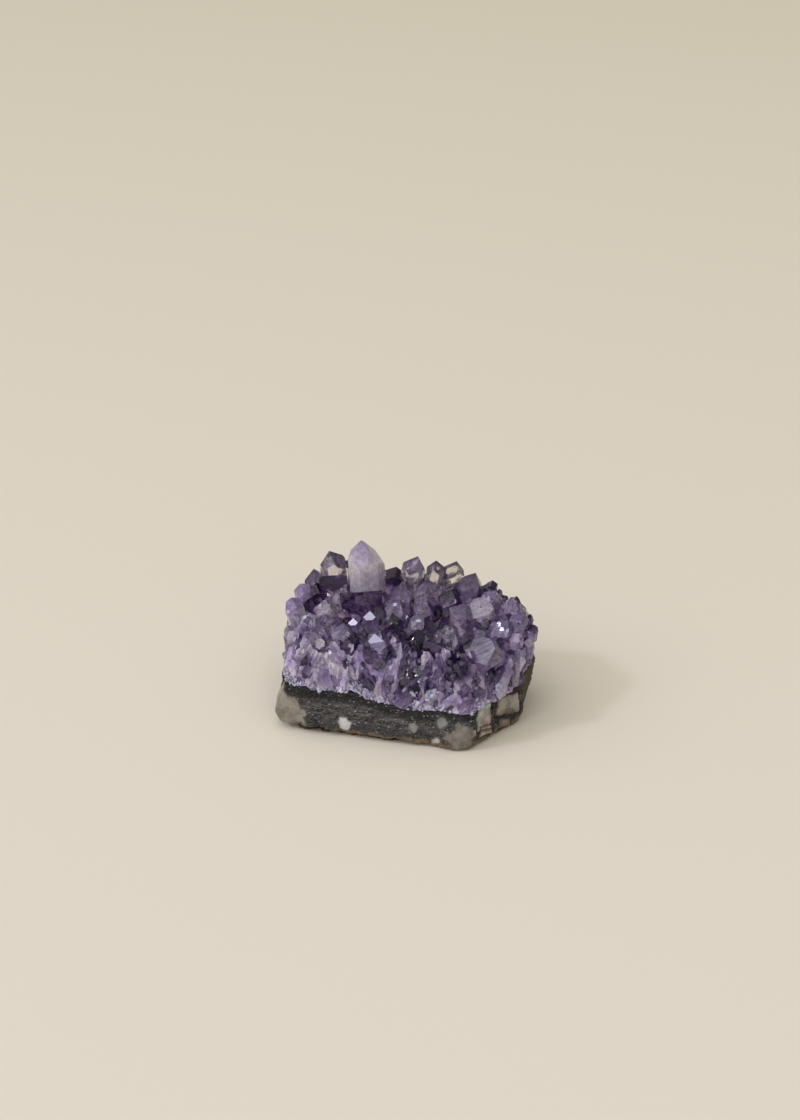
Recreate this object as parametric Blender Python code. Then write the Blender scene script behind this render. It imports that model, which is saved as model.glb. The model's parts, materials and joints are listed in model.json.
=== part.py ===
"""Amethyst cluster: a broken slab of dark basalt with a crust of amethyst points grown on it.

The stone is modelled as the two minerals that it is made of:
  basalt_matrix       the piece of volcanic rock, broken all round, that the crystals grew on
  amethyst_crystals   the quartz crust and every point that grew out of it, as one solid

+X runs along the broken front face, +Y from the front to the back, +Z is up. The origin is on the
floor, under the middle of the stone. Sizes are written in millimetres and turned to metres by MM.
"""

import math
import random

import bmesh
import bpy
from mathutils import Matrix, Vector, noise

MM = 0.001

# Driving dimensions, in millimetres
MIDDLE = (0.5, -0.8)  # the middle of the finished stone, in the numbers used below
ROCK_TOP = 11.0  # floor to the seam between rock and quartz, in the middle of the front
SEAM_GAP = 0.3  # clearance between the rock and the quartz
FRONT_LIFT = 2.5  # how far the underside clears the floor at the front left
CRUST_TOP = 18.0  # floor to the bed that the points stand on, at the front
CRUST_RISE = 0.15  # how much the bed climbs for each millimetre towards the back
FILL_SPACING = 4.5  # between the points that cover the bed
FILL_WIDTH = (4.4, 6.6)
FILL_HEIGHT = (2.8, 5.8)  # how far those points stand above the bed
COLUMN_SPACING = 6.0  # between the columns that show along the broken edge
COLUMN_WIDTH = (5.0, 7.4)
COLUMN_TIERS = [(0.28, 2.9), (0.74, 3.6)]  # share of the wall that the tips reach, and their inset
PYRAMID_SLOPE = math.radians(51.8)  # a tip face of quartz, from the horizontal
POINT_TAPER = 0.86  # width at the root for each unit at the tip

# The broken edge of the rock seen from above, anticlockwise from the front left corner
OUTLINE = [
    (-28.6, -16.2), (-27.0, -21.2), (-20.0, -22.0), (-11.0, -21.8), (-2.0, -21.6), (7.0, -21.5),
    (15.0, -21.2), (21.0, -20.2), (23.8, -16.4), (26.0, -11.6), (29.6, -6.0), (31.6, 0.4),
    (31.2, 7.0), (28.6, 13.4), (22.0, 17.4), (13.0, 19.0), (4.0, 18.4), (-6.0, 19.8),
    (-16.0, 19.2), (-24.5, 16.4), (-29.8, 11.0), (-31.0, 3.0), (-29.4, -6.0),
]
OUTLINE_STEPS = 60  # columns of faces round the rock

# Rows up the sides: height, and how far the side stands in from the outline
ROCK_ROWS = [
    (0.1, 1.5), (0.8, 0.6), (2.2, 0.1), (4.4, 0.0), (6.8, 0.1), (9.2, 0.3), (11.6, 0.4),
    (14.0, 0.1), (16.6, 0.4), (19.4, 0.9), (24.0, 1.6),
]
CRUST_ROWS = [(4.0, 0.7), (11.5, 0.6), (13.2, 1.3), (15.4, 3.0), (18.0, 5.4)]
UNDERSIDE_RINGS = [0.9, 0.78, 0.6, 0.35]  # shares of the lowest row
CRUST_RINGS = [0.82, 0.55, 0.28]  # shares of the highest row

# Lumps on the rock, and hollows in it: centre, radius, and how far they stand out
LUMPS = [
    ((-26.8, -19.6, 6.4), 5.2, 1.0),
    ((-20.0, -22.0, 8.5), 3.6, -0.5),
    ((17.5, -21.0, 5.4), 4.4, 0.5),
    ((26.2, -11.4, 5.0), 2.6, -1.1),
    ((29.2, -5.6, 5.6), 4.0, 0.7),
    ((31.0, 3.0, 13.5), 4.6, 0.5),
]
# Flat breaks in the rock: a point on each and the direction that it faces
BREAKS = [
    ((22.6, -18.4, 4.0), (0.80, -0.58, -0.05)),
    ((28.4, -8.0, 4.0), (0.85, -0.50, -0.12)),
    ((31.0, 1.5, 8.0), (0.95, 0.10, -0.22)),
    ((30.6, 9.0, 6.0), (0.88, 0.40, -0.15)),
    ((-29.2, -13.0, 7.0), (-0.96, -0.20, 0.06)),
    ((-27.3, 14.6, 5.0), (-0.72, 0.66, -0.12)),
    ((6.0, 18.4, 3.5), (0.06, 0.95, -0.28)),
    ((-12.0, 18.9, 9.0), (-0.08, 0.99, 0.10)),
]

# Growth habits of a point: how far each of the six tip faces stands off, for a width of 1. A face
# that stands off 0.3 never forms.
HABITS = [
    (0.00, 0.30, 0.03, 0.30, -0.02, 0.09),
    (-0.04, 0.15, 0.07, 0.30, 0.04, 0.30),
    (-0.10, 0.30, 0.08, 0.14, 0.06, 0.30),
    (0.05, 0.30, -0.06, 0.30, 0.02, 0.07),
    (0.02, 0.30, 0.00, 0.30, 0.01, 0.30),
    (-0.07, 0.30, 0.05, 0.09, 0.09, 0.30),
    (-0.14, 0.12, 0.10, 0.30, 0.08, 0.16),
    (0.10, 0.02, 0.02, -0.09, 0.06, 0.10),
]

# The points that stand out: tip, root, width across, habit, and turn about the point's own length
# in degrees. At a turn of -105 the first tip face looks to the front.
POINTS = {
    # back row, left to right
    "far_left": ((-29.6, 0.5, 24.8), (-25.5, 2.0, 16.0), 4.6, 0, -110),
    "far_left_back": ((-28.6, 6.0, 26.0), (-24.5, 5.0, 17.0), 4.6, 1, -135),
    "left_shoulder": ((-26.2, 8.5, 29.2), (-22.0, 7.0, 19.0), 5.6, 2, -100),
    "clear_left": ((-21.0, 8.5, 35.4), (-18.6, 7.5, 20.0), 7.2, 3, -120),
    "clear_left_side": ((-17.2, 10.0, 32.6), (-16.6, 8.0, 20.0), 4.4, 0, -150),
    "tall": ((-11.7, 6.4, 40.3), (-11.0, 7.0, 20.0), 9.2, 7, -168),
    "behind_tall": ((-5.2, 12.0, 31.0), (-6.5, 10.0, 20.0), 5.0, 4, -135),
    "back_middle": ((-0.4, 13.5, 33.6), (-2.8, 10.5, 20.0), 5.8, 1, -95),
    "back_middle_right": ((5.0, 13.5, 33.2), (3.0, 11.0, 20.0), 5.0, 3, -140),
    "clear_back": ((8.8, 14.5, 33.0), (8.2, 11.5, 20.0), 6.0, 2, -125),
    "back_right": ((14.6, 12.5, 31.8), (12.0, 8.5, 19.0), 7.2, 0, -110),
    "right_shoulder": ((20.6, 10.5, 28.4), (17.4, 8.0, 18.0), 5.6, 4, -130),
    "right_shoulder_back": ((25.4, 8.5, 27.4), (21.6, 6.5, 17.0), 5.0, 1, -90),
    "right_edge": ((28.6, 4.5, 26.4), (24.8, 3.5, 17.0), 4.8, 5, -150),
    "right_edge_low": ((30.2, -0.5, 23.6), (26.0, 0.5, 16.0), 4.6, 3, -120),
    # middle, left to right
    "left_dark": ((-25.6, 0.0, 27.4), (-22.8, 1.5, 18.0), 6.0, 2, -115),
    "grey_wedge": ((-17.8, 3.4, 28.6), (-18.8, 5.0, 18.5), 8.2, 6, -100),
    "grey_wedge_side": ((-20.0, -1.5, 26.6), (-20.4, 1.0, 18.0), 5.8, 0, -100),
    "hollow_left": ((-12.4, -5.0, 24.4), (-12.4, -5.5, 16.0), 3.6, 0, -104),
    "hollow_right": ((-8.8, -1.2, 25.2), (-8.8, -1.7, 16.0), 4.2, 4, -107),
    "blue_grey": ((-3.2, 6.0, 29.2), (-3.0, 5.0, 18.5), 6.8, 5, -150),
    "blue_grey_front": ((-2.4, 1.2, 27.0), (-2.4, 2.5, 18.0), 5.6, 2, -120),
    "grey_middle": ((4.2, 8.2, 30.8), (3.8, 6.0, 19.0), 7.2, 3, -140),
    "grey_middle_front": ((4.4, 2.0, 27.4), (4.0, 3.5, 18.0), 5.2, 1, -105),
    "dark_face": ((9.8, 6.4, 29.6), (9.6, 5.0, 19.0), 6.2, 0, -160),
    "grey_green": ((14.6, 2.4, 28.2), (12.8, 1.0, 18.0), 6.8, 4, -125),
    "lavender_right": ((19.0, 6.0, 29.2), (17.0, 3.8, 18.5), 6.8, 2, -108),
    "leaning_middle": ((5.6, -4.6, 27.0), (2.0, -4.2, 17.0), 4.8, 5, -125),
    "wide_grey": ((12.2, -6.0, 26.0), (12.4, -5.4, 16.5), 8.4, 2, -118),
    "small_pale": ((15.2, -4.6, 25.8), (16.2, -3.0, 18.0), 3.4, 5, -110),
    "purple_right": ((25.4, 0.0, 26.0), (22.6, -0.2, 17.0), 6.2, 1, -120),
    # front row, left to right
    "left_low": ((-26.0, -8.6, 21.8), (-23.0, -6.5, 15.0), 5.0, 3, -135),
    "left_cluster": ((-23.2, -6.4, 24.8), (-21.6, -5.0, 16.0), 5.0, 5, -125),
    "left_cluster_front": ((-18.4, -10.0, 23.6), (-18.0, -7.0, 15.5), 5.2, 0, -110),
    "front_pale": ((-12.8, -12.0, 26.2), (-13.0, -12.4, 15.0), 5.2, 2, -98),
    "front_bright": ((-4.5, -13.0, 26.0), (-4.0, -13.8, 15.0), 6.6, 0, -106),
    "front_middle": ((2.2, -14.6, 24.6), (2.0, -11.5, 15.0), 6.4, 4, -120),
    "front_right": ((8.8, -16.0, 23.6), (8.2, -13.0, 15.0), 6.0, 1, -140),
    "striated": ((21.7, -9.2, 26.9), (21.0, -10.0, 14.0), 8.4, 6, -104),
    "right_low": ((25.4, -8.4, 23.0), (22.6, -7.5, 15.0), 5.8, 3, -130),
}


def smooth_step(low, high, value):
    """0 below low, 1 above high, and an easy curve between. low may be the larger of the two."""
    share = min(max((value - low) / (high - low), 0.0), 1.0)
    return share * share * (3 - 2 * share)


def seam_height(x, y):
    """Where the basalt ends and the quartz begins: nearly level, higher at the left, with a thin
    rim of rock that climbs at the right end and along the left."""
    wave = 0.30 * math.sin(0.55 * x + 0.3) + 0.20 * math.sin(1.1 * x + 0.4 * y)
    front = 1.6 * smooth_step(-1.0, -7.0, x) - 0.8 * smooth_step(-1.0, 6.0, x)
    left_rim = 1.6 * smooth_step(-25.0, -28.0, x) * smooth_step(-7.0, -13.0, y)
    right_rim = 4.0 * smooth_step(27.0, 31.0, x) * smooth_step(-8.0, 0.0, y)
    return ROCK_TOP + wave + front + left_rim + right_rim


def bed_height(x, y):
    """Height of the crust under the points: it climbs to the back and has a hollow in it."""
    slope = CRUST_RISE * (y + 20.0)
    hollow = 3.0 * math.exp(-((x + 10.0) ** 2 / 30.0 + (y + 0.5) ** 2 / 18.0))
    pocket = 1.6 * math.exp(-((x - 1.5) ** 2 / 8.0 + (y - 6.0) ** 2 / 6.0))
    ends = 2.0 * smooth_step(18.0, 31.0, x) + 1.4 * smooth_step(-20.0, -31.0, x)
    return CRUST_TOP + slope - hollow - pocket - ends


def underside_height(x, y):
    """Height of the rock's underside before its flat is cut: it lifts along the front left."""
    lift = FRONT_LIFT * smooth_step(20.0, -20.0, x) * smooth_step(-8.0, -20.0, y)
    rough = 0.5 * noise.noise(Vector((x, y, 0.0)) * 0.16)
    edge = 0.9 * smooth_step(0.8, 1.0, Vector((x / 31.0, y / 19.5, 0.0)).length)
    return lift + rough + edge - 0.45


def outline_point(share, inset):
    """The point at a share of the way round the outline, moved in towards the middle by inset."""
    corners = [Vector(corner) for corner in OUTLINE]
    sides = list(zip(corners, corners[1:] + corners[:1]))
    left = share % 1.0 * sum((b - a).length for a, b in sides)
    for a, b in sides:
        side = (b - a).length
        if left <= side:
            break
        left -= side
    point = a.lerp(b, left / side)
    return point * (1.0 - inset / point.length)


def reach(x, y):
    """How far from the middle the outline lies, in the direction of (x, y)."""
    facing = Vector((x, y)).normalized()
    corners = [Vector(corner) for corner in OUTLINE]
    for a, b in zip(corners, corners[1:] + corners[:1]):
        before, after = facing.cross(a), facing.cross(b)
        if before <= 0.0 < after and facing.dot(a + b) > 0.0:
            return a.lerp(b, before / (before - after)).length
    return 0.0


def hold_inside(point, inset):
    """The point, moved in towards the middle until it is at least inset inside the outline."""
    flat = Vector((point.x, point.y))
    most = reach(*flat) - inset
    if flat.length > most:
        flat *= most / flat.length
    return Vector((flat.x, flat.y, point.z))


def polar_mesh(rows, rings, cap_on_top, cap_height, steps):
    """A closed mesh made of rings of points: up the sides by rows of height and inset, then in
    over one end by rings, which are shares of the last row. cap_height(x, y) shapes that end."""
    bm = bmesh.new()
    sides = []
    for height, inset in rows:
        ring = [outline_point(i / steps, inset) for i in range(steps)]
        sides.append([bm.verts.new((p.x, p.y, height)) for p in ring])
    end = sides[-1] if cap_on_top else sides[0]
    inner = [[bm.verts.new((v.co.x * share, v.co.y * share, 0.0)) for v in end] for share in rings]
    centre = bm.verts.new((0.0, 0.0, 0.0))
    for vert in [v for ring in inner for v in ring] + [centre]:
        vert.co.z = cap_height(vert.co.x, vert.co.y)
    stack = sides + inner if cap_on_top else inner[::-1] + sides
    for below, above in zip(stack, stack[1:]):
        for i in range(steps):
            j = (i + 1) % steps
            bm.faces.new((below[i], below[j], above[j], above[i]))
    tip = stack[-1] if cap_on_top else stack[0]
    for i in range(steps):
        bm.faces.new((tip[i], tip[(i + 1) % steps], centre))
    bm.faces.new(sides[0] if cap_on_top else sides[-1])
    bmesh.ops.recalc_face_normals(bm, faces=bm.faces)
    return bm


def cut_flat(bm, point, facing):
    """Takes off everything beyond a plane and closes the cut with one flat face."""
    cut = bmesh.ops.bisect_plane(
        bm, geom=bm.verts[:] + bm.edges[:] + bm.faces[:], dist=1e-5,
        plane_co=point, plane_no=facing, clear_outer=True,
    )
    edges = [e for e in cut["geom_cut"] if isinstance(e, bmesh.types.BMEdge)]
    if edges:
        bmesh.ops.holes_fill(bm, edges=edges, sides=0)


def add_object(name, bm, collection=None):
    """Turns a mesh in millimetres into an object in metres."""
    bmesh.ops.triangulate(bm, faces=bm.faces)
    bmesh.ops.scale(bm, vec=(MM, MM, MM), verts=bm.verts)
    mesh = bpy.data.meshes.new(name)
    bm.to_mesh(mesh)
    bm.free()
    obj = bpy.data.objects.new(name, mesh)
    (collection or bpy.context.scene.collection).objects.link(obj)
    return obj


def as_helper(obj):
    """Marks an object as a cutter or a guide, which isn't part of the stone."""
    obj.hide_render = True
    obj.display_type = "WIRE"
    return obj


def add_boolean(obj, operation, other):
    """Adds a Boolean with one object, or with every object in a collection."""
    modifier = obj.modifiers.new(operation.lower(), "BOOLEAN")
    modifier.operation = operation
    modifier.solver = "EXACT"
    if isinstance(other, bpy.types.Collection):
        modifier.operand_type = "COLLECTION"
        modifier.collection = other
    else:
        modifier.object = other


def shells_of(bm):
    """The mesh's separate shells, each as a list of vertices, smallest first."""
    shells, left = [], set(bm.verts)
    while left:
        shell, ahead = [], [left.pop()]
        while ahead:
            vert = ahead.pop()
            shell.append(vert)
            for edge in vert.link_edges:
                other = edge.other_vert(vert)
                if other in left:
                    left.remove(other)
                    ahead.append(other)
        shells.append(shell)
    return sorted(shells, key=len)


def bake(obj):
    """Applies the modifiers, drops the voids that the points shut in, joins flat facets, and moves
    the solid so that the origin is under the middle of the stone."""
    graph = bpy.context.evaluated_depsgraph_get()
    bm = bmesh.new()
    bm.from_mesh(obj.evaluated_get(graph).to_mesh())
    for shell in shells_of(bm)[:-1]:
        bmesh.ops.delete(bm, geom=shell, context="VERTS")
    bmesh.ops.dissolve_limit(
        bm, angle_limit=math.radians(0.4), verts=bm.verts, edges=bm.edges,
        use_dissolve_boundaries=False,
    )
    bmesh.ops.triangulate(bm, faces=bm.faces)
    bmesh.ops.translate(bm, verts=bm.verts, vec=(-MIDDLE[0] * MM, -MIDDLE[1] * MM, 0.0))
    baked = bpy.data.meshes.new(obj.name)
    bm.to_mesh(baked)
    bm.free()
    obj.modifiers.clear()
    obj.data = baked


def set_material(obj, name, colour, roughness, transmission=0.0):
    """Gives a solid one plain finish: colour, roughness and how clear it is."""
    material = bpy.data.materials.new(name)
    material.use_nodes = True
    shader = material.node_tree.nodes["Principled BSDF"]
    shader.inputs["Base Color"].default_value = (*colour, 1.0)
    shader.inputs["Roughness"].default_value = roughness
    shader.inputs["Metallic"].default_value = 0.0
    shader.inputs["Transmission Weight"].default_value = transmission
    obj.data.materials.append(material)


def seam_block(name, low, high):
    """A block, wider than the stone, between two levels. A level of None follows the seam."""
    xs = [-38.0, -31.0, -29.0, -28.0, -26.6] + [-24.5 + 3.0 * i for i in range(17)]
    xs += [25.5, 27.5, 29.5, 31.5, 33.0, 38.0]
    ys = [-27.0, -21.0, -14.0, -9.0, -5.0, -1.0, 6.0, 13.0, 19.0, 26.0]
    shift = SEAM_GAP if high is None else 0.0
    bm = bmesh.new()
    grids = []
    for level in (low, high):
        grids.append([
            [bm.verts.new((x, y, seam_height(x, y) + shift if level is None else level)) for x in xs]
            for y in ys
        ])
    for grid in grids:
        for near, far in zip(grid, grid[1:]):
            for i in range(len(xs) - 1):
                bm.faces.new((near[i], near[i + 1], far[i + 1], far[i]))
    bottom, top = [
        grid[0] + [row[-1] for row in grid[1:]] + grid[-1][-2::-1] + [row[0] for row in grid[-2:0:-1]]
        for grid in grids
    ]
    for i in range(len(bottom)):
        j = (i + 1) % len(bottom)
        bm.faces.new((bottom[i], bottom[j], top[j], top[i]))
    bmesh.ops.recalc_face_normals(bm, faces=bm.faces)
    return as_helper(add_object(name, bm))


def make_rock():
    """The basalt: a rough slab with lumps, flat breaks, a lifted front edge and a flat to rest on."""
    bm = polar_mesh(ROCK_ROWS, UNDERSIDE_RINGS, False, underside_height, OUTLINE_STEPS)
    for vert in bm.verts:
        x, y, z = vert.co
        outward = Vector((x, y, 0.0)).normalized()
        on_side = smooth_step(0.8, 0.97, Vector((x / 30.0, y / 18.5, 0.0)).length)
        coarse = noise.fractal(vert.co * 0.13, 0.6, 2.0, 3)
        fine = noise.noise(vert.co * 0.9 + Vector((7.0, 3.0, 1.0)))
        push = on_side * (0.6 * coarse + 0.3 * fine)
        for centre, radius, height in LUMPS:
            nearness = 1.0 - (vert.co - Vector(centre)).length / radius
            push += height * smooth_step(0.0, 0.7, nearness)
        vert.co += outward * push
        lift = FRONT_LIFT * smooth_step(20.0, -20.0, x) * smooth_step(-12.0, -20.0, y)
        vert.co.z += lift * on_side * smooth_step(5.0, 0.0, z)
    for point, facing in BREAKS:
        cut_flat(bm, Vector(point), Vector(facing))
    cut_flat(bm, Vector((0.0, 0.0, 0.0)), Vector((0.0, 0.0, -1.0)))
    rock = add_object("basalt_matrix", bm)
    add_boolean(rock, "DIFFERENCE", seam_block("above_seam", None, 45.0))
    bake(rock)
    set_material(rock, "basalt", (0.055, 0.053, 0.052), 0.8)


def model_habit(offsets):
    """A point 1 wide with its tip near the origin and its root at z = -1: a six-sided prism that
    narrows to the root, cut by six tip faces that stand off by the offsets."""
    bm = bmesh.new()
    corner = 0.5 / math.cos(math.pi / 6)
    bmesh.ops.create_cone(
        bm, cap_ends=True, segments=6, radius1=corner * POINT_TAPER, radius2=corner, depth=1.0,
    )
    bmesh.ops.translate(bm, verts=bm.verts, vec=(0.0, 0.0, -0.5))
    bmesh.ops.rotate(bm, verts=bm.verts, matrix=Matrix.Rotation(math.radians(30), 3, "Z"))
    for side, offset in enumerate(offsets):
        turn = math.radians(60 * side)
        facing = Vector((math.cos(turn), math.sin(turn), 0.0)) * math.sin(PYRAMID_SLOPE)
        facing.z = math.cos(PYRAMID_SLOPE)
        cut_flat(bm, facing * offset - Vector((0.0, 0.0, 0.05)), facing)
    bmesh.ops.recalc_face_normals(bm, faces=bm.faces)
    return bm


def stand_point(name, tip, root, width, habit, turn, collection):
    """Stands a point of one habit between its root and its tip, turned about its own length."""
    along = Vector(tip) - Vector(root)
    bm = model_habit(HABITS[habit % len(HABITS)])
    for vert in bm.verts:
        if vert.co.z < -0.99:
            vert.co.z = -along.length / width
    bmesh.ops.scale(bm, vec=(width, width, width), verts=bm.verts)
    lean = Vector((0.0, 0.0, 1.0)).rotation_difference(along).to_matrix().to_4x4()
    spin = Matrix.Rotation(math.radians(turn), 4, "Z")
    bmesh.ops.transform(bm, matrix=Matrix.Translation(tip) @ lean @ spin, verts=bm.verts)
    as_helper(add_object(name, bm, collection))


def covered(x, y, width):
    """True if a point of this width would stand inside one of the named points."""
    for tip, root, other, _, _ in POINTS.values():
        middle = Vector(root).lerp(Vector(tip), 0.5)
        if math.hypot(x - middle.x, y - middle.y) < 0.25 * (width + other):
            return True
    return False


def grow_fill(collection, rng):
    """Covers the bed with points on a loose honeycomb, which lean out as they near the edge."""
    row_step = FILL_SPACING * math.sqrt(3) / 2
    for row in range(-5, 6):
        for column in range(-7, 8):
            x = (column + 0.5 * (row % 2)) * FILL_SPACING + rng.uniform(-0.9, 0.9)
            y = row * row_step + rng.uniform(-0.9, 0.9)
            width, height = rng.uniform(*FILL_WIDTH), rng.uniform(*FILL_HEIGHT)
            lean = Vector((rng.gauss(0.0, 0.16), rng.gauss(0.0, 0.16), 1.0))
            habit, turn = rng.randrange(len(HABITS)), rng.uniform(-180.0, 180.0)
            if math.hypot(x, y) > reach(x, y) - 3.0 or covered(x, y, width):
                continue
            edge = Vector((x / 31.0, y / 19.5, 0.0))
            lean += edge * 0.55 * edge.length ** 2
            foot = Vector((x, y, bed_height(x, y)))
            tip = hold_inside(foot + lean.normalized() * height, 0.5 * width + 0.6)
            root = foot - lean.normalized() * 3.2
            stand_point(f"fill_{row}_{column}", tip, root, width, habit, turn, collection)


def grow_columns(collection, rng):
    """Tiers of columns along the broken edge, where the crust shows in section."""
    steps = round(190.0 / COLUMN_SPACING)
    for tier, (share_up, inset) in enumerate(COLUMN_TIERS):
        for i in range(steps):
            edge = outline_point((i + 0.5 * tier + rng.uniform(-0.2, 0.2)) / steps, inset)
            outward = Vector((edge.x, edge.y, 0.0)).normalized()
            along = Vector((-outward.y, outward.x, 0.0))
            seam = seam_height(edge.x, edge.y)
            wall = bed_height(edge.x, edge.y) - seam
            tip = Vector((edge.x, edge.y, seam + wall * share_up + rng.uniform(0.6, 3.0)))
            tip += outward * rng.uniform(-0.4, 0.5)
            root = Vector((edge.x, edge.y, seam - 1.5)) - outward * rng.uniform(0.4, 2.2)
            root += along * rng.uniform(-1.2, 1.2)
            width = rng.uniform(*COLUMN_WIDTH)
            habit, turn = rng.randrange(len(HABITS)), rng.uniform(-180.0, 180.0)
            stand_point(f"column_{tier}_{i}", tip, root, width, habit, turn, collection)


def make_crystals():
    """The crust with every point fused to it, cut off where it meets the rock."""
    growth = bpy.data.collections.new("growth")
    bpy.context.scene.collection.children.link(growth)
    for name, (tip, root, width, habit, turn) in POINTS.items():
        stand_point(name, tip, root, width, habit, turn, growth)
    rng = random.Random(11)
    grow_fill(growth, rng)
    grow_columns(growth, rng)
    crust = polar_mesh(CRUST_ROWS, CRUST_RINGS, True, bed_height, 24)
    crystals = add_object("amethyst_crystals", crust)
    add_boolean(crystals, "UNION", growth)
    add_boolean(crystals, "DIFFERENCE", seam_block("below_seam", -5.0, None))
    bake(crystals)
    set_material(crystals, "amethyst", (0.42, 0.30, 0.50), 0.12, 0.8)


def main():
    for obj in list(bpy.data.objects):
        bpy.data.objects.remove(obj)
    make_rock()
    make_crystals()


main()
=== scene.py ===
# %% [markdown]
# # Amethyst cluster
# The stone is a broken piece of the lining of a gas bubble in dark lava. Hot water laid down a skin of
# quartz on the lava, and amethyst points grew from that skin into the bubble. Two CAD solids carry the
# sizes: the basalt and the crystals. Here each of them is replaced by a finer mesh of the same form,
# so the first step is to load them and to keep their box.
# %% Load the solids
import json
import math
import random

import bpy
from mathutils import Matrix, Vector, noise

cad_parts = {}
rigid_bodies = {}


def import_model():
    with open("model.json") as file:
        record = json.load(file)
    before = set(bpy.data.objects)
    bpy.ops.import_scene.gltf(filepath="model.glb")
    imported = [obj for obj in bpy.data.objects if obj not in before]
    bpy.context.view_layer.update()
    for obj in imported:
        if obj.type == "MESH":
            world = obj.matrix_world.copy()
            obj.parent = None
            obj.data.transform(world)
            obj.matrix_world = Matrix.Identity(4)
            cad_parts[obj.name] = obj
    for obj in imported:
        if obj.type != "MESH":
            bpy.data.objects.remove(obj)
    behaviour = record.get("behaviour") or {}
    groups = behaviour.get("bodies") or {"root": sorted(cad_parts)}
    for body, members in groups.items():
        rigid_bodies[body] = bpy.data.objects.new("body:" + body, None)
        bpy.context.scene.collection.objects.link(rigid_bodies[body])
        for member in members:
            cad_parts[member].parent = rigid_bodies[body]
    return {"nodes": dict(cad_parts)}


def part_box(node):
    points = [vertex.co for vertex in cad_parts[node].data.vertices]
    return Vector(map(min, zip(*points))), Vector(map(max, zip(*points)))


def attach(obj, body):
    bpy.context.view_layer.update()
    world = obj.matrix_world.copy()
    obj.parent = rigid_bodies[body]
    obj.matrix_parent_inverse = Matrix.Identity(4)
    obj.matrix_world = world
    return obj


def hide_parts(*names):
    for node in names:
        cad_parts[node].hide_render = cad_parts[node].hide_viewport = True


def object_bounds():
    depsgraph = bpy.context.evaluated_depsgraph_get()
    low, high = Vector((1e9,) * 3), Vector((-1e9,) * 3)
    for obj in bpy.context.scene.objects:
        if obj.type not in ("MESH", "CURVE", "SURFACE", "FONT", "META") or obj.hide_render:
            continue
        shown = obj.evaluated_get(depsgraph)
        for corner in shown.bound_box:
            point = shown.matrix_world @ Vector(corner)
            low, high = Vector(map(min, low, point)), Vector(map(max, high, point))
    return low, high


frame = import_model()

cad_low, cad_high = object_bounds()
print("CAD box in mm:", [round(1000 * v, 2) for v in (*cad_low, *cad_high)])

# %% [markdown]
# The camera comes first, because everything is seen through it. A short telephoto lens looks down on
# the stone from the front, a little from the right, as one looks at a thing on a table.
# %% Camera
FOCAL_LENGTH = 85.0
CAMERA_PLACE = (0.13799, -0.55464, 0.33050)
CAMERA_TILT, CAMERA_TURN = math.radians(63.03), math.radians(14.13)
camera_lens = bpy.data.cameras.new("camera")
camera_lens.lens = FOCAL_LENGTH
camera = bpy.data.objects.new("camera", camera_lens)
camera.location = CAMERA_PLACE
camera.rotation_euler = (CAMERA_TILT, 0.0, CAMERA_TURN)
bpy.context.scene.collection.objects.link(camera)
bpy.context.scene.camera = camera
print("camera", round(camera.location.length, 3), "m from the middle of the stone's foot")

# %% [markdown]
# Lengths on the stone are easiest to think of in millimetres, and Blender works in metres. All places
# below are in the drawing's millimetres, whose origin lies a little beside the middle of the stone.
# Operators act on all that is selected, so `only` leaves one object selected before each of them.
# %% Units and small helpers
MM = 0.001
UP = Vector((0.0, 0.0, 1.0))
MIDDLE = Vector((0.5, -0.8, 0.0))  # the middle of the stone, in the drawing's millimetres
SAME_PLACE = 0.01 * MM  # vertices closer than this are one


def on_stone(place):
    """A place in the drawing's millimetres, as a place in the scene."""
    return (Vector(place) - MIDDLE) * MM


def in_drawing(place):
    """A place in the scene, in the drawing's millimetres."""
    return place / MM + MIDDLE


def only(obj):
    """Leaves one object selected and active."""
    bpy.ops.object.select_all(action="DESELECT")
    obj.select_set(True)
    bpy.context.view_layer.objects.active = obj


def apply_modifier(obj, kind, **settings):
    """Adds a modifier with its settings and applies it."""
    modifier = obj.modifiers.new(kind.lower(), kind)
    for name, value in settings.items():
        setattr(modifier, name, value)
    only(obj)
    bpy.ops.object.modifier_apply(modifier=modifier.name)


def smooth_step(low, high, value):
    """0 below low, 1 above high, and an easy curve between. low may be the larger of the two."""
    share = min(max((value - low) / (high - low), 0.0), 1.0)
    return share * share * (3 - 2 * share)


def shown_size(obj):
    """An object's triangles and size, to print."""
    obj.data.calc_loop_triangles()
    size = ", ".join(f"{1000 * v:.2f}" for v in obj.dimensions)
    return f"{obj.name}: {len(obj.data.loop_triangles)} triangles, {size} mm"


print("origin of the drawing in the scene:", tuple(round(v, 4) for v in on_stone((0.0, 0.0, 0.0))))

# %% [markdown]
# ## The form of the stone
# The same named values shape the solids: the broken outline seen from above, the seam where basalt
# turns to quartz, and the bed that the points stand on. Functions of x and y are the simplest way to
# hold such surfaces, because every crystal can ask them for its own foot.
# %% Outline, seam and bed
ROCK_TOP = 11.0
CRUST_TOP = 18.0
CRUST_RISE = 0.15  # how steeply the crust climbs to the back
HOLLOWS = [  # middle, how wide each way, depth
    ((-10.0, -0.5), (30.0, 18.0), 5.0), ((1.5, 6.0), (8.0, 6.0), 1.6),
]
RIM_RISE = 2.4
OUTLINE = [
    (-28.6, -16.2), (-27.0, -21.2), (-20.0, -22.0), (-11.0, -21.8), (-2.0, -21.6), (7.0, -21.5),
    (15.0, -21.2), (21.0, -20.2), (23.8, -16.4), (26.0, -11.6), (29.6, -6.0), (31.6, 0.4),
    (31.2, 7.0), (28.6, 13.4), (22.0, 17.4), (13.0, 19.0), (4.0, 18.4), (-6.0, 19.8),
    (-16.0, 19.2), (-24.5, 16.4), (-29.8, 11.0), (-31.0, 3.0), (-29.4, -6.0),
]
CORNERS = [Vector(corner) for corner in OUTLINE]
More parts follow.
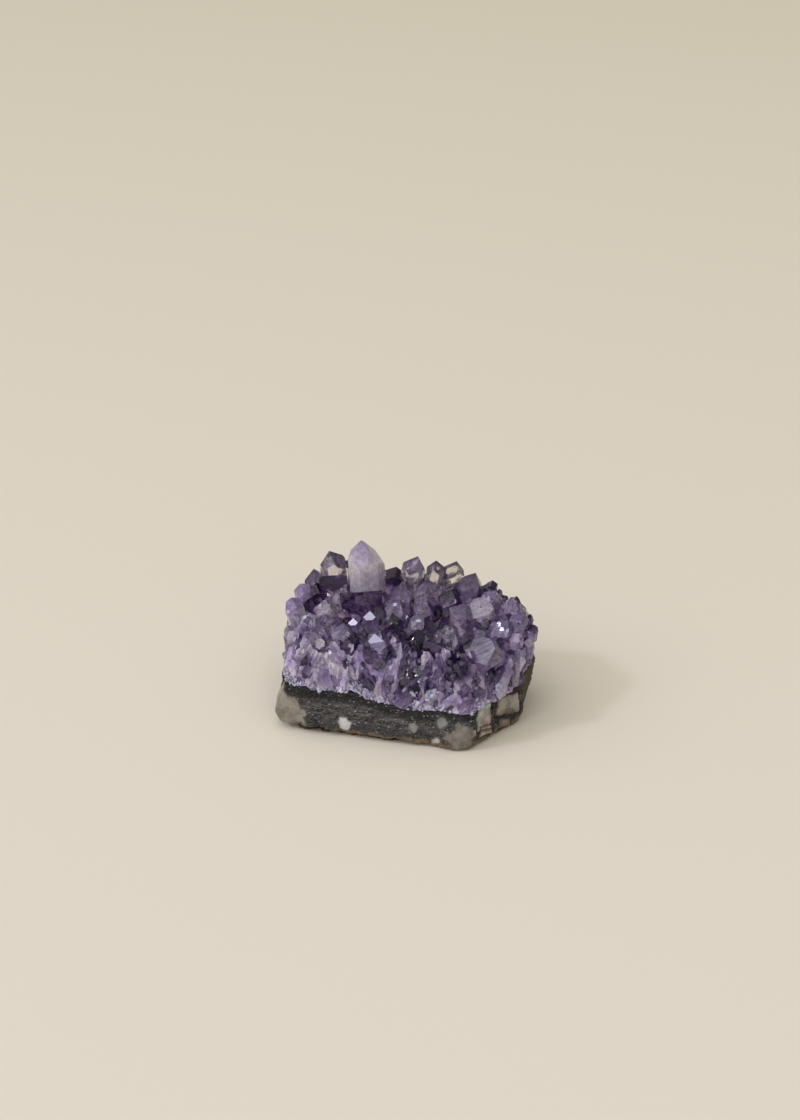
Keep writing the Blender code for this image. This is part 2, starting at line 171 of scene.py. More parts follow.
SIDES = list(zip(CORNERS, CORNERS[1:] + CORNERS[:1]))
ROUND = sum((b - a).length for a, b in SIDES)


def seam_height(x, y):
    """Where the basalt ends and the quartz begins."""
    wave = 0.30 * math.sin(0.55 * x + 0.3) + 0.20 * math.sin(1.1 * x + 0.4 * y)
    front = 1.6 * smooth_step(-1.0, -7.0, x) - 0.8 * smooth_step(-1.0, 6.0, x)
    left_rim = 1.6 * smooth_step(-25.0, -28.0, x) * smooth_step(-7.0, -13.0, y)
    right_rim = 4.0 * smooth_step(27.0, 31.0, x) * smooth_step(-8.0, 0.0, y)
    return ROCK_TOP + wave + front + left_rim + right_rim


def bed_height(x, y):
    """Height of the crust under the points: it climbs to the back and has two hollows in it."""
    height = CRUST_TOP + CRUST_RISE * (y + 20.0)
    for (middle_x, middle_y), (wide, deep), depth in HOLLOWS:
        height -= depth * math.exp(-((x - middle_x) ** 2 / wide + (y - middle_y) ** 2 / deep))
    return height - (2.0 * smooth_step(18.0, 31.0, x) + 1.4 * smooth_step(-20.0, -31.0, x))


def rim_height(x, y):
    """How far the crust stands up along its front edge, where broken columns crowd together."""
    ragged = 1.0 + 0.9 * noise.noise(Vector((x, y, 3.0)) * 0.35)
    return RIM_RISE * smooth_step(-10.5, -15.5, y) * ragged


def outline_point(share, inset):
    """The point at a share of the way round the outline, moved in towards the middle by inset."""
    left = share % 1.0 * ROUND
    for a, b in SIDES:
        side = (b - a).length
        if left <= side:
            break
        left -= side
    point = a.lerp(b, left / side)
    return point * (1.0 - inset / point.length)


def reach(x, y):
    """How far from the middle the outline lies, in the direction of (x, y)."""
    facing = Vector((x, y)).normalized()
    for a, b in SIDES:
        before, after = facing.cross(a), facing.cross(b)
        if before <= 0.0 < after and facing.dot(a + b) > 0.0:
            return a.lerp(b, before / (before - after)).length
    return 0.0


def hold_inside(point, inset):
    """The point, moved in towards the middle until it is at least inset inside the outline."""
    flat = Vector((point.x, point.y))
    most = reach(*flat) - inset
    if flat.length > most:
        flat *= most / flat.length
    return Vector((flat.x, flat.y, point.z))


print(round(ROUND, 1), "mm round the outline")

# %% [markdown]
# ## Growth habits
# A quartz point is a six-sided prism that ends in six sloping faces, and hardly two are alike: on one
# a single face takes the whole tip, on the next three small ones share it. Each habit starts as a
# hexagonal prism and is cut by one bisecting plane for each tip face, as a gem cutter would. Eight
# habits, turned and stretched, are enough for a whole bed of points. Three more are kept for points
# that stand out: two with a flat front, whose first tip face is cut to a triangle, and one that ends
# in a long ridge, like a roof.
# %% Model each habit once
PYRAMID_SLOPE = math.radians(51.8)
POINT_TAPER = 0.86
TIP_DROP = 0.05  # how far the tip faces are moved down, so that all of them cut the prism
EDGE_WEAR = 0.012  # bevel on the edges of the larger points, for a width of 1
WORN_ANGLE = math.radians(20)
HABITS = [  # how far out each of the six tip faces stands
    (0.00, 0.30, 0.03, 0.30, -0.02, 0.09),
    (-0.04, 0.15, 0.07, 0.30, 0.04, 0.30),
    (-0.10, 0.30, 0.08, 0.14, 0.06, 0.30),
    (0.05, 0.30, -0.06, 0.30, 0.02, 0.07),
    (0.02, 0.30, 0.00, 0.30, 0.01, 0.30),
    (-0.07, 0.30, 0.05, 0.09, 0.09, 0.30),
    (-0.14, 0.12, 0.10, 0.30, 0.08, 0.16),
    (0.10, 0.02, 0.02, -0.09, 0.06, 0.10),
]
SPECIAL_HABITS = [  # the same, with how far out the prism face below the first tip face stands
    ((0.02, 0.30, 0.00, 0.30, 0.01, 0.30), 0.29),
    ((0.02, 0.30, 0.00, 0.30, 0.01, 0.30), 0.41),
    ((0.00, 0.26, 0.26, 0.02, 0.26, 0.26), 0.50),
]


def face_outwards():
    """Turns all faces of the mesh that is open outwards, and closes it."""
    bpy.ops.mesh.select_all(action="SELECT")
    bpy.ops.mesh.normals_make_consistent(inside=False)
    bpy.ops.object.mode_set(mode="OBJECT")


def cut_off(place, facing):
    """Cuts away what lies beyond a plane from all of the mesh that is open, and closes the cut."""
    bpy.ops.mesh.select_all(action="SELECT")
    bpy.ops.mesh.bisect(plane_co=place, plane_no=facing, clear_outer=True, use_fill=True)


def model_habit(number, offsets, front=0.5):
    """A point 1 wide, its tip near the origin and its root at z = -1, cut by six tip faces. With
    front below 0.5, it is flattened on the side of its first tip face."""
    corner = 0.5 / math.cos(math.pi / 6)
    bpy.ops.object.select_all(action="DESELECT")
    bpy.ops.mesh.primitive_cone_add(
        vertices=6, radius1=corner * POINT_TAPER, radius2=corner, depth=1.0,
        location=(0.0, 0.0, -0.5), rotation=(0.0, 0.0, math.radians(30)),
    )
    point = bpy.context.object
    point.name = f"habit_{number}"
    bpy.ops.object.transform_apply(location=True, rotation=True, scale=True)
    bpy.ops.object.mode_set(mode="EDIT")
    for side, offset in enumerate(offsets):
        turn = math.radians(60 * side)
        facing = Vector((math.cos(turn), math.sin(turn), 0.0)) * math.sin(PYRAMID_SLOPE)
        facing.z = math.cos(PYRAMID_SLOPE)
        cut_off(facing * offset - UP * TIP_DROP, facing)
    if front < 0.5:
        cut_off((front, 0.0, 0.0), (1.0, 0.0, 0.0))
    face_outwards()
    return point


def worn(habit):
    """A copy of a habit with a narrow bevel on its edges, which are never perfectly sharp."""
    only(habit)
    bpy.ops.object.duplicate()
    copy = bpy.context.object
    apply_modifier(copy, "BEVEL", width=EDGE_WEAR, segments=1, limit_method="ANGLE",
                   angle_limit=WORN_ANGLE)
    return copy


habits = [model_habit(number, offsets) for number, offsets in enumerate(HABITS)]
habits += [model_habit(len(HABITS) + i, *shape) for i, shape in enumerate(SPECIAL_HABITS)]
worn_habits = [worn(habit) for habit in habits]
print("faces of each habit:", [len(habit.data.polygons) for habit in habits])
print("faces when worn:", [len(habit.data.polygons) for habit in worn_habits])

# %% [markdown]
# ## Standing the points
# Every point is a copy of a habit with its own mesh, stretched between its root and its tip. Six
# numbers are written on its faces for the finish to read: `tint`, how purple it grew; `clarity`, how
# free it is of the veils that make quartz milky; `sparkle`, how much its faces break up into small
# mirrors; `lines`, how strongly growth lines show; `frost`, how etched a face is; and `facet`, which
# differs from face to face. Its UV map runs across each face and along the growth, in millimetres.
# %% Copy, stretch and label a point
def new_growth(name):
    """A collection for points that are grown together in one step."""
    made = bpy.data.collections.new(name)
    bpy.context.scene.collection.children.link(made)
    return made


growth = new_growth("growth")
needles = new_growth("needles")
grains = new_growth("grains")
facets = random.Random(5)
NUMBERS = ("tint", "clarity", "sparkle", "lines", "frost", "facet")
TIP_LINES, SIDE_LINES = 0.1, 1.0  # growth lines on the tip faces and on the prism faces
WORN_FROM = 3.2  # points wider than this have worn edges
ROOT_LEVEL = -0.95  # vertices of a habit below this belong to its root
PRISM_RISE = 0.3  # a face whose normal rises less than this is one of the prism's


def write_numbers(mesh, domain, names, rows):
    """Writes named numbers on a mesh, from one row for each of its faces or points."""
    for name, values in zip(names, zip(*rows)):
        mesh.attributes.new(name, "FLOAT", domain).data.foreach_set("value", values)


def label(mesh, width, tint, clarity, sparkle=0.0):
    """Writes the finish's numbers and the growth map on a point that still stands upright."""
    growth_map = mesh.uv_layers.active or mesh.uv_layers.new(name="UVMap")
    for polygon in mesh.polygons:
        across = Vector((-polygon.normal.y, polygon.normal.x, 0.0))
        for loop in polygon.loop_indices:
            place = mesh.vertices[mesh.loops[loop].vertex_index].co
            growth_map.data[loop].uv = (across.dot(place) * width, -place.z * width)
    rows = []
    for polygon in mesh.polygons:
        lines = SIDE_LINES if abs(polygon.normal.z) < PRISM_RISE else TIP_LINES
        rows.append((tint, clarity, sparkle, lines, 0.0, facets.random()))
    write_numbers(mesh, "FACE", NUMBERS, rows)


def stand_point(name, tip, root, width, habit, turn, tint, clarity, sparkle=0.0, into=growth,
                facing=None, broad=1.0):
    """Stands a point of one habit between its root and its tip, turned about its own length and
    broad times as wide one way. With facing, it leans and turns instead until its first tip face
    looks that way."""
    along = Vector(tip) - Vector(root)
    kinds = worn_habits if width > WORN_FROM else habits
    mesh = kinds[habit % len(kinds)].data.copy()
    mesh.name = name
    for vert in mesh.vertices:
        if vert.co.z < ROOT_LEVEL:
            vert.co.z += 1.0 - along.length / width
    label(mesh, width, tint, clarity, sparkle)
    if facing is None:
        lean = UP.rotation_difference(along).to_matrix().to_4x4()
        lean @= Matrix.Rotation(math.radians(turn), 4, "Z")
    else:
        side = (along - facing * along.dot(facing)).normalized()
        axis = facing * math.cos(PYRAMID_SLOPE) + side * math.sin(PYRAMID_SLOPE)
        out = (facing - axis * math.cos(PYRAMID_SLOPE)) / math.sin(PYRAMID_SLOPE)
        lean = Matrix((out, axis.cross(out), axis)).transposed().to_4x4()
    size = Matrix.Diagonal((width * MM, broad * width * MM, width * MM, 1.0))
    mesh.transform(Matrix.Translation(on_stone(tip)) @ lean @ size)
    into.objects.link(bpy.data.objects.new(name, mesh))
    return mesh


# %% [markdown]
# ## The points that stand out
# Most of the character is in about fifty points that one could name: the tall pale one, the clear
# ones beside it, the grey ones in the middle, and the few whose faces throw back the lamp. They are
# listed one by one. A bed strewn at random alone would look like gravel. Habits 8, 9 and 10 are the
# special ones.
# %% Points: tip, root, width, habit, turn, tint, clarity, sparkle
POINTS = {
    "far_left": ((-28.6, -2.5, 26.8), (-26.4, -1.5, 16.0), 5.2, 0, -110, 0.15, 0.35, 0.5),
    "far_left_back": ((-28.4, 4.0, 27.0), (-24.5, 5.0, 17.0), 4.6, 1, -135, 0.15, 0.35, 0.4),
    "left_shoulder": ((-26.2, 8.5, 29.2), (-22.0, 7.0, 19.0), 5.6, 2, -100, 0.45, 0.75, 0.2),
    "clear_left": ((-21.0, 8.5, 35.4), (-18.6, 7.5, 20.0), 7.2, 3, -120, 0.00, 0.86, 0.1),
    "clear_left_side": ((-17.2, 10.0, 32.6), (-16.6, 8.0, 20.0), 4.4, 0, -150, 0.00, 1.00, 0.2),
    "tall": ((-11.7, 6.4, 40.3), (-11.0, 7.0, 20.0), 8.8, 7, -158, 0.06, 0.46, 0.0),
    "behind_tall": ((-5.2, 12.0, 31.0), (-6.5, 10.0, 20.0), 5.0, 4, -135, 0.75, 0.95, 0.1),
    "back_middle": ((-0.4, 13.5, 33.6), (-2.8, 10.5, 20.0), 5.8, 1, -95, 0.25, 0.85, 0.4),
    "back_middle_right": ((5.0, 13.5, 33.2), (3.0, 11.0, 20.0), 5.0, 3, -140, 0.05, 0.88, 0.3),
    "clear_back": ((8.8, 14.5, 33.0), (8.2, 11.5, 20.0), 6.0, 2, -125, -0.20, 0.96, 0.3),
    "back_right": ((14.6, 12.5, 31.8), (12.0, 8.5, 19.0), 7.2, 0, -110, 0.60, 0.80, 0.2),
    "right_shoulder": ((20.6, 10.5, 28.4), (17.4, 8.0, 18.0), 5.6, 4, -130, 0.35, 0.55, 0.5),
    "right_shoulder_back": ((25.4, 8.5, 27.4), (21.6, 6.5, 17.0), 5.0, 1, -90, 0.42, 0.55, 0.5),
    "right_edge": ((28.6, 4.5, 26.4), (24.8, 3.5, 17.0), 4.8, 5, -150, 0.35, 0.45, 0.5),
    "right_edge_low": ((29.2, -0.5, 23.6), (25.4, 0.5, 16.0), 4.6, 3, -120, 0.15, 0.25, 0.4),
    "left_dark": ((-25.0, 0.0, 25.3), (-22.4, 1.5, 17.0), 5.6, 2, -115, 0.80, 0.90, 0.2),
    "grey_wedge": ((-17.8, 3.4, 28.6), (-18.8, 5.0, 18.5), 8.2, 6, -100, 0.25, 0.80, 0.3),
    # roof and left_roof are tinted deep violet, partly their own colour and partly painted shade for
    # the hollow they overhang in front of the tall point's base.
    "roof": ((-11.9, 1.8, 28.0), (-12.2, 7.5, 17.5), 6.4, 10, -76, 0.85, 0.86, 0.25),
    "left_roof": ((-19.6, 4.2, 30.5), (-19.8, 8.5, 19.0), 4.8, 10, -76, 0.85, 0.86, 0.25),
    "left_roof_side": ((-23.4, 3.4, 28.6), (-22.0, 4.6, 18.0), 4.6, 3, -120, 0.70, 0.95, 0.2),
    "grey_wedge_side": ((-20.0, -1.5, 26.6), (-20.4, 1.0, 18.0), 5.8, 0, -100, 0.00, 0.65, 0.6),
    "hollow_left": ((-11.8, -5.2, 24.5), (-9.9, -4.7, 17.0), 2.9, 9, 0, 0.30, 0.60, 0.0),
    "hollow_right": ((-8.6, -1.4, 25.0), (-6.7, -0.9, 17.0), 3.8, 9, 0, 0.30, 0.60, 0.0),
    "blue_grey": ((-3.2, 6.0, 29.2), (-3.0, 5.0, 18.5), 6.8, 5, -150, 0.18, 0.74, 0.3),
    "blue_grey_front": ((-2.4, 1.2, 27.0), (-2.4, 2.5, 18.0), 5.6, 2, -120, 0.22, 0.76, 0.3),
    "grey_middle": ((4.2, 8.2, 30.8), (3.8, 6.0, 19.0), 7.2, 3, -140, 0.20, 0.78, 0.4),
    "grey_middle_front": ((4.4, 2.0, 27.4), (4.0, 3.5, 18.0), 5.2, 1, -105, 0.32, 0.82, 0.2),
    "dark_face": ((9.8, 6.4, 29.6), (9.6, 8.5, 19.0), 6.2, 0, -110, 0.85, 0.86, 0.2),
    "grey_green": ((14.6, 2.4, 28.2), (12.8, 1.0, 18.0), 6.8, 4, -125, 0.22, 0.80, 0.1),
    "lavender_right": ((19.0, 6.0, 29.2), (17.0, 3.8, 18.5), 6.8, 2, -108, 0.02, 0.55, 0.9),
    "leaning_middle": ((5.6, -4.6, 27.0), (2.0, -4.2, 17.0), 4.8, 5, -125, 0.25, 0.75, 0.2),
    "wide_grey": ((12.2, -6.0, 26.0), (12.4, -5.4, 16.5), 8.4, 2, -118, 0.14, 0.84, 0.2),
    "small_pale": ((14.9, -5.0, 25.0), (15.9, -3.4, 18.0), 2.4, 5, -110, 0.05, 0.45, 0.0),
    "purple_right": ((25.4, 0.0, 26.0), (22.6, -0.2, 17.0), 6.2, 1, -120, 0.45, 0.55, 0.6),
    "left_low": ((-26.2, -8.6, 21.8), (-23.0, -6.5, 15.0), 5.0, 3, -135, 0.15, 0.40, 0.5),
    "left_cluster": ((-23.2, -6.4, 24.8), (-21.6, -5.0, 16.0), 5.0, 5, -125, -0.05, 0.50, 0.8),
    "left_cluster_front": ((-18.4, -10.0, 23.6), (-18.0, -7.0, 15.5), 5.2, 0, -110, 0.20, 0.60, 0.5),
    "front_pale": ((-12.8, -12.0, 26.2), (-13.0, -12.4, 15.0), 5.2, 2, -98, 0.12, 0.70, 0.3),
    "front_bright": ((-4.3, -13.4, 25.7), (-1.8, -12.7, 18.0), 5.6, 8, 0, 0.15, 0.55, 0.0),
    "front_middle": ((2.2, -14.6, 24.6), (2.0, -11.5, 15.0), 6.4, 4, -120, 0.50, 0.80, 0.2),
    "front_right": ((8.8, -16.0, 23.6), (8.2, -13.0, 15.0), 6.0, 1, -140, 0.80, 0.90, 0.1),
    "striated": ((19.5, -9.6, 26.0), (23.6, -8.5, 19.0), 7.6, 6, 0, 0.30, 0.75, 0.0),
    "before_bright_0": ((-6.8, -15.6, 23.2), (-7.2, -14.4, 15.0), 2.4, 5, -125, 0.25, 0.60, 0.4),
    "before_bright_1": ((-1.2, -15.4, 23.4), (-0.8, -14.2, 15.0), 2.4, 1, -120, 0.45, 0.80, 0.4),
    "glass_left_0": ((-24.4, -4.8, 24.2), (-23.6, -3.0, 16.0), 3.0, 2, -90, -0.02, 0.70, 0.9),
    "glass_left_1": ((-20.8, -7.6, 24.4), (-20.2, -5.6, 16.0), 3.2, 4, -140, -0.02, 0.65, 0.9),
    "glass_left_2": ((-17.0, -6.6, 24.2), (-17.2, -4.8, 16.0), 2.8, 1, -105, 0.00, 0.75, 0.9),
    "glass_left_3": ((-15.6, -9.8, 24.4), (-15.4, -8.0, 16.0), 2.6, 3, -120, 0.00, 0.70, 0.9),
    "right_low": ((25.4, -8.4, 23.0), (22.6, -7.5, 15.0), 5.8, 3, -130, 0.35, 0.50, 0.5),
}
print(len(POINTS), "points named")

# %% [markdown]
# A face throws back the lamp only if it looks halfway between the lamp and the eye, so the four that
# do are turned that way exactly. Those and the small ones before the brightest are kept apart and
# grown on after the edge is broken, so that the break doesn't take their faces off.
# %% Stand the named points
LAMP_TURN, LAMP_HEIGHT = math.radians(32.0), math.radians(40.0)
TO_LAMP = Vector((-math.cos(LAMP_TURN) * math.cos(LAMP_HEIGHT),
                  -math.sin(LAMP_TURN) * math.cos(LAMP_HEIGHT), math.sin(LAMP_HEIGHT)))
GLINTS = {  # frost and growth lines on the face that is lit
    "hollow_left": (1.0, 0.0), "hollow_right": (1.0, 0.0), "front_bright": (1.0, 0.0),
    "striated": (1.5, 3.0),
}
BROAD = {"roof": 1.7, "left_roof": 1.5}
for name, values in POINTS.items():
    to_eye = (in_drawing(camera.location) - Vector(values[0])).normalized()
    halfway = (to_eye + TO_LAMP).normalized()
    late = name in GLINTS or name.startswith("before")
    mesh = stand_point(name, *values, into=needles if late else growth,
                       facing=halfway if name in GLINTS else None,
                       broad=BROAD.get(name, 1.0))
    if name in GLINTS:
        lit = max(range(len(mesh.polygons)), key=lambda i: mesh.polygons[i].normal.dot(halfway))
        for number, value in zip(("frost", "lines"), GLINTS[name]):
            mesh.attributes[number].data[lit].value = value

# %% [markdown]
# Sugar-fine druse has grown over some of the points, and in the seam it gathers into small rosettes.
# Both are the same small points again: on a face, or all round a middle.
# %% Druse and rosettes
DRUSY = {"lavender_right": 46, "grey_middle": 14, "left_cluster": 22, "blue_grey": 8,
         "grey_wedge_side": 16, "right_edge_low": 20, "right_edge": 14, "right_shoulder_back": 14}
ROSETTES = [
    ((11.4, -20.0, 14.0), 2.5), ((6.9, -20.2, 14.0), 1.4), ((-4.5, -20.6, 13.2), 1.2),
    ((15.8, -19.6, 13.4), 1.2), ((26.0, -12.2, 14.2), 1.3), ((19.6, -19.2, 12.6), 1.0),
    ((-17.0, -20.6, 14.6), 1.0), ((-24.2, -18.6, 17.2), 1.1),
]
DRUSE_REACH = 5.0  # how far down from the tip it grows
DRUSE_WIDTH, DRUSE_LENGTH = (0.5, 1.2), 1.4
RING, SPOKES = 11, 16  # points in a rosette's outer ring, and in all of it
sugar = random.Random(77)


def level(place):
    """The level direction from the middle to a place."""
    return Vector((place.x, place.y, 0.0)).normalized()


def sideways(outward):
    """The level direction along an edge, from the level direction that looks out of it."""
    return Vector((-outward.y, outward.x, 0.0))


def any_habit(draws):
    """One of the plain habits at random, and a turn for it."""
    return draws.randrange(len(HABITS)), draws.uniform(-180.0, 180.0)


def drusy(name, count):
    """Strews small pale points over the upper faces of a point."""
    mesh = bpy.data.objects[name].data
    top = max(vert.co.z for vert in mesh.vertices)
    for i in range(count):
        spot = None
        while spot is None or spot.z < top - DRUSE_REACH * MM:
            face = mesh.polygons[sugar.randrange(len(mesh.polygons))]
            corners = [mesh.vertices[v].co for v in face.vertices]
            shares = [sugar.random() for _ in corners]
            spot = sum((c * s for c, s in zip(corners, shares)), Vector()) / sum(shares)
        out = face.normal + Vector([sugar.gauss(0.0, 0.35) for _ in range(3)])
        tip = in_drawing(spot) + out.normalized() * sugar.uniform(0.1, 0.5)
        root = tip - out.normalized() * DRUSE_LENGTH
        stand_point(f"druse_{name}_{i}", tip, root, sugar.uniform(*DRUSE_WIDTH),
                    *any_habit(sugar), sugar.uniform(-0.2, 0.3), sugar.uniform(0.4, 0.9),
                    sugar.random() ** 2)


def rosette(number, middle, radius, into):
    """Pale points all round a middle: a ring that opens wide, and a few that look straight out."""
    middle = Vector(middle)
    outward = level(middle)
    for i in range(SPOKES):
        turn = math.tau * i / RING + sugar.uniform(-0.2, 0.2)
        wide = 1.0 if i < RING else 0.35
        spoke = sideways(outward) * math.cos(turn) + UP * math.sin(turn)
        out = outward * (1.1 - 0.5 * wide) + wide * spoke
        tip = middle + out.normalized() * radius * sugar.uniform(0.85, 1.1)
        stand_point(f"rosette_{number}_{i}", tip, middle - outward * 0.4, radius * 0.55,
                    *any_habit(sugar), sugar.uniform(-0.4, 0.0), sugar.uniform(0.1, 0.6),
                    sugar.random(), into)


for name, count in DRUSY.items():
    drusy(name, count)

# %% [markdown]
# ## The bed between them
# Between the named points the bed is covered by middling ones on a loose honeycomb, and the broken
# edge by two tiers of stout columns. They follow the same rules and the same seed as in the solids,
# so they stand where the solids have them. The columns stand a little further in here, because finer
# ones grow over them.
# %% Middling points and stout columns
FILL_SPACING, FILL_ROWS, FILL_COLUMNS = 4.5, 5, 7
FILL_WIDTH = (4.4, 6.6)
FILL_HEIGHT = (2.8, 5.8)
FILL_INSET = 3.0
COLUMN_SPACING = 6.0
COLUMN_WIDTH = (5.0, 7.4)
COLUMN_TIERS = [(0.28, 2.9), (0.74, 3.6)]  # share of the way up the edge, distance inside it
COLUMN_ROUND = 190.0  # length of the edge that the columns are counted out on
COLUMN_SET_BACK = 0.9
JITTER = 0.9  # how far a point on the honeycomb may stand from its place
HALF_LENGTH, HALF_DEPTH = 31.0, 19.5  # of the bed
EDGE_LEAN = 0.55  # how much points at the edge of the bed lean out
ROOT_DEPTH = 3.2  # how deep a point of the bed is rooted in the crust
chance = random.Random(11)
tints = random.Random(23)


def covered(x, y, width):
    """True if a point of this width would stand inside one of the named points."""
    for tip, root, other, *_ in POINTS.values():
        middle = Vector(root).lerp(Vector(tip), 0.5)
        if math.hypot(x - middle.x, y - middle.y) < 0.25 * (width + other):
            return True
    return False


def paler(x):
    """How much less purple and less clear the crystals are towards both ends."""
    return 0.19 * smooth_step(-7.0, -18.0, x) + 0.18 * smooth_step(19.0, 26.0, x)


def leaning_point(name, x, y, height, width, habit, turn, lean, *finish):
    """A point on the bed that leans further out the nearer it stands to the edge."""
    edge = Vector((x / HALF_LENGTH, y / HALF_DEPTH, 0.0))
    lean = (lean + edge * EDGE_LEAN * edge.length ** 2).normalized()
    foot = Vector((x, y, bed_height(x, y)))
    tip = hold_inside(foot + lean * height, 0.5 * width + 0.6)
    stand_point(name, tip, foot - lean * ROOT_DEPTH, width, habit, turn, *finish)


def honeycomb(spacing, rows, columns, draws):
    """The places of a loose honeycomb, with their row and column."""
    row_step = spacing * math.sqrt(3) / 2
    for row in range(-rows, rows + 1):
        for column in range(-columns, columns + 1):
            x = (column + 0.5 * (row % 2)) * spacing + draws.uniform(-JITTER, JITTER)
            y = row * row_step + draws.uniform(-JITTER, JITTER)
            yield row, column, x, y


def grow_fill():
    """Middling points all over the bed, but for where a named one stands."""
    for row, column, x, y in honeycomb(FILL_SPACING, FILL_ROWS, FILL_COLUMNS, chance):
        width, height = chance.uniform(*FILL_WIDTH), chance.uniform(*FILL_HEIGHT)
        lean = Vector((chance.gauss(0.0, 0.16), chance.gauss(0.0, 0.16), 1.0))
        habit, turn = any_habit(chance)
        if math.hypot(x, y) > reach(x, y) - FILL_INSET or covered(x, y, width):
            continue
        tint = tints.uniform(0.22, 0.88) - paler(x)
        clarity = tints.uniform(0.75, 1.0) - paler(x)
        leaning_point(f"fill_{row}_{column}", x, y, height, width, habit, turn, lean,
                      tint, clarity, tints.random() ** 3)


def grow_columns():
    """Two tiers of stout columns round the edge, the lower ones standing further out."""
    steps = round(COLUMN_ROUND / COLUMN_SPACING)
    for tier, (share_up, inset) in enumerate(COLUMN_TIERS):
        for i in range(steps):
            edge = outline_point((i + 0.5 * tier + chance.uniform(-0.2, 0.2)) / steps, inset)
            outward = level(edge)
            seam = seam_height(*edge)
            wall = bed_height(*edge) - seam
            tip = Vector((edge.x, edge.y, seam + wall * share_up + chance.uniform(0.6, 3.0)))
            tip += outward * (chance.uniform(-0.4, 0.5) - COLUMN_SET_BACK)
            root = Vector((edge.x, edge.y, seam - 1.5)) - outward * chance.uniform(0.4, 2.2)
            root += sideways(outward) * chance.uniform(-1.2, 1.2)
            width = chance.uniform(*COLUMN_WIDTH)
            stand_point(f"column_{tier}_{i}", tip, root, width, *any_habit(chance),
                        tints.uniform(0.4, 0.8), tints.uniform(0.3, 0.6))


grow_fill()
grow_columns()

# %% [markdown]
# ## Young points
# A real bed is never bare between its big points: young ones fill it. They stand on a finer honeycomb
# and lean any way. Their colour comes in patches, so a slow noise of the place gives the tint, and not
# a fresh random number.
# %% Strew the young points
YOUNG_SPACING, YOUNG_ROWS, YOUNG_COLUMNS = 3.0, 8, 11
YOUNG_WIDTH = (1.6, 3.8)
YOUNG_HEIGHT = (1.6, 5.0)
YOUNG_INSET = 2.4
fine = random.Random(31)


def patch(x, y, z):
    """A slow noise from 0 to 1, for patches of deeper colour."""
    return min(max(0.5 + 0.9 * noise.noise(Vector((x, y, z)) * 0.17), 0.0), 1.0)


def grow_young():
    """Young points all over the bed. At the back they stand closer to the edge."""
    for row, column, x, y in honeycomb(YOUNG_SPACING, YOUNG_ROWS, YOUNG_COLUMNS, fine):
        width, height = fine.uniform(*YOUNG_WIDTH), fine.uniform(*YOUNG_HEIGHT)
        lean = Vector((fine.gauss(0.0, 0.35), fine.gauss(0.0, 0.35), 1.0))
        habit, turn = any_habit(fine)
        if math.hypot(x, y) > reach(x, y) - YOUNG_INSET + 0.9 * smooth_step(4.0, 10.0, y):
            continue
        leaning_point(f"young_{row}_{column}", x, y, height + rim_height(x, y), width, habit,
                      turn, lean, 0.2 + 0.7 * patch(x, y, 20.0) - paler(x),
                      fine.uniform(0.6, 1.0) - paler(x), fine.random() ** 3)


grow_young()

# %% [markdown]
# ## The crust, and growing it all together
# Under the points lies the crust itself. It starts as a cylinder with rings of faces, whose vertices
# are moved to the outline and the bed. Then one Boolean union grows everything together, so that light
# passes through one body and meets no hidden walls. Gaps that the points shut in are real voids in a
# geode, but they can't be seen, so only the outer shell is kept.
# %% Shape the crust
CRUST_ROWS = [(4.0, -1.5), (18.0, -1.5)]  # height, and distance inside the outline
CRUST_RINGS = [0.97, 0.90, 0.82, 0.70, 0.55, 0.28]  # shares of the way out, over the top
CRUST_STEPS = 96
CRUST_START = 0.6  # share of the outline at which the first vertex stands
WHOLE = 1000.0  # for a mesh that isn't stretched from a habit: its map is in millimetres as it is


def edit_all(obj):
    """Opens a mesh for editing, with all of it selected."""
    only(obj)
    bpy.ops.object.mode_set(mode="EDIT")
    bpy.ops.mesh.select_all(action="SELECT")


def shape_crust():
    """The crust as a closed ring mesh, from a circle that is extruded row by row."""
    bpy.ops.object.select_all(action="DESELECT")
    bpy.ops.mesh.primitive_circle_add(vertices=CRUST_STEPS, radius=1.0, fill_type="NGON")
    crust = bpy.context.object
    crust.name = "amethyst"
    stages = len(CRUST_ROWS) + len(CRUST_RINGS)
    bpy.ops.object.mode_set(mode="EDIT")
    for stage in range(1, stages):
        bpy.ops.mesh.extrude_region_move(TRANSFORM_OT_translate={"value": (0.0, 0.0, 1.0)})
    bpy.ops.object.mode_set(mode="OBJECT")
    for vert in crust.data.vertices:
        stage = round(vert.co.z)
        share = math.atan2(vert.co.y, vert.co.x) / math.tau + CRUST_START
        height, inset = CRUST_ROWS[min(stage, len(CRUST_ROWS) - 1)]
        place = outline_point(share, inset)
        if stage >= len(CRUST_ROWS):
            place *= CRUST_RINGS[stage - len(CRUST_ROWS)]
        if stage >= len(CRUST_ROWS) - 1:
            height = bed_height(*place) + rim_height(place.x, place.y)
        vert.co = on_stone((place.x, place.y, height))
    edit_all(crust)
    bpy.ops.mesh.normals_make_consistent(inside=False)
    bpy.ops.mesh.quads_convert_to_tris()
    bpy.ops.object.mode_set(mode="OBJECT")
    label(crust.data, WHOLE, tint=0.5, clarity=0.4)
    return crust


def grow_together(obj, points):
    """Joins a collection of points to a piece."""
    apply_modifier(obj, "BOOLEAN", operation="UNION", solver="MANIFOLD",
                   operand_type="COLLECTION", collection=points)


amethyst = shape_crust()
grow_together(amethyst, growth)
print(shown_size(amethyst))

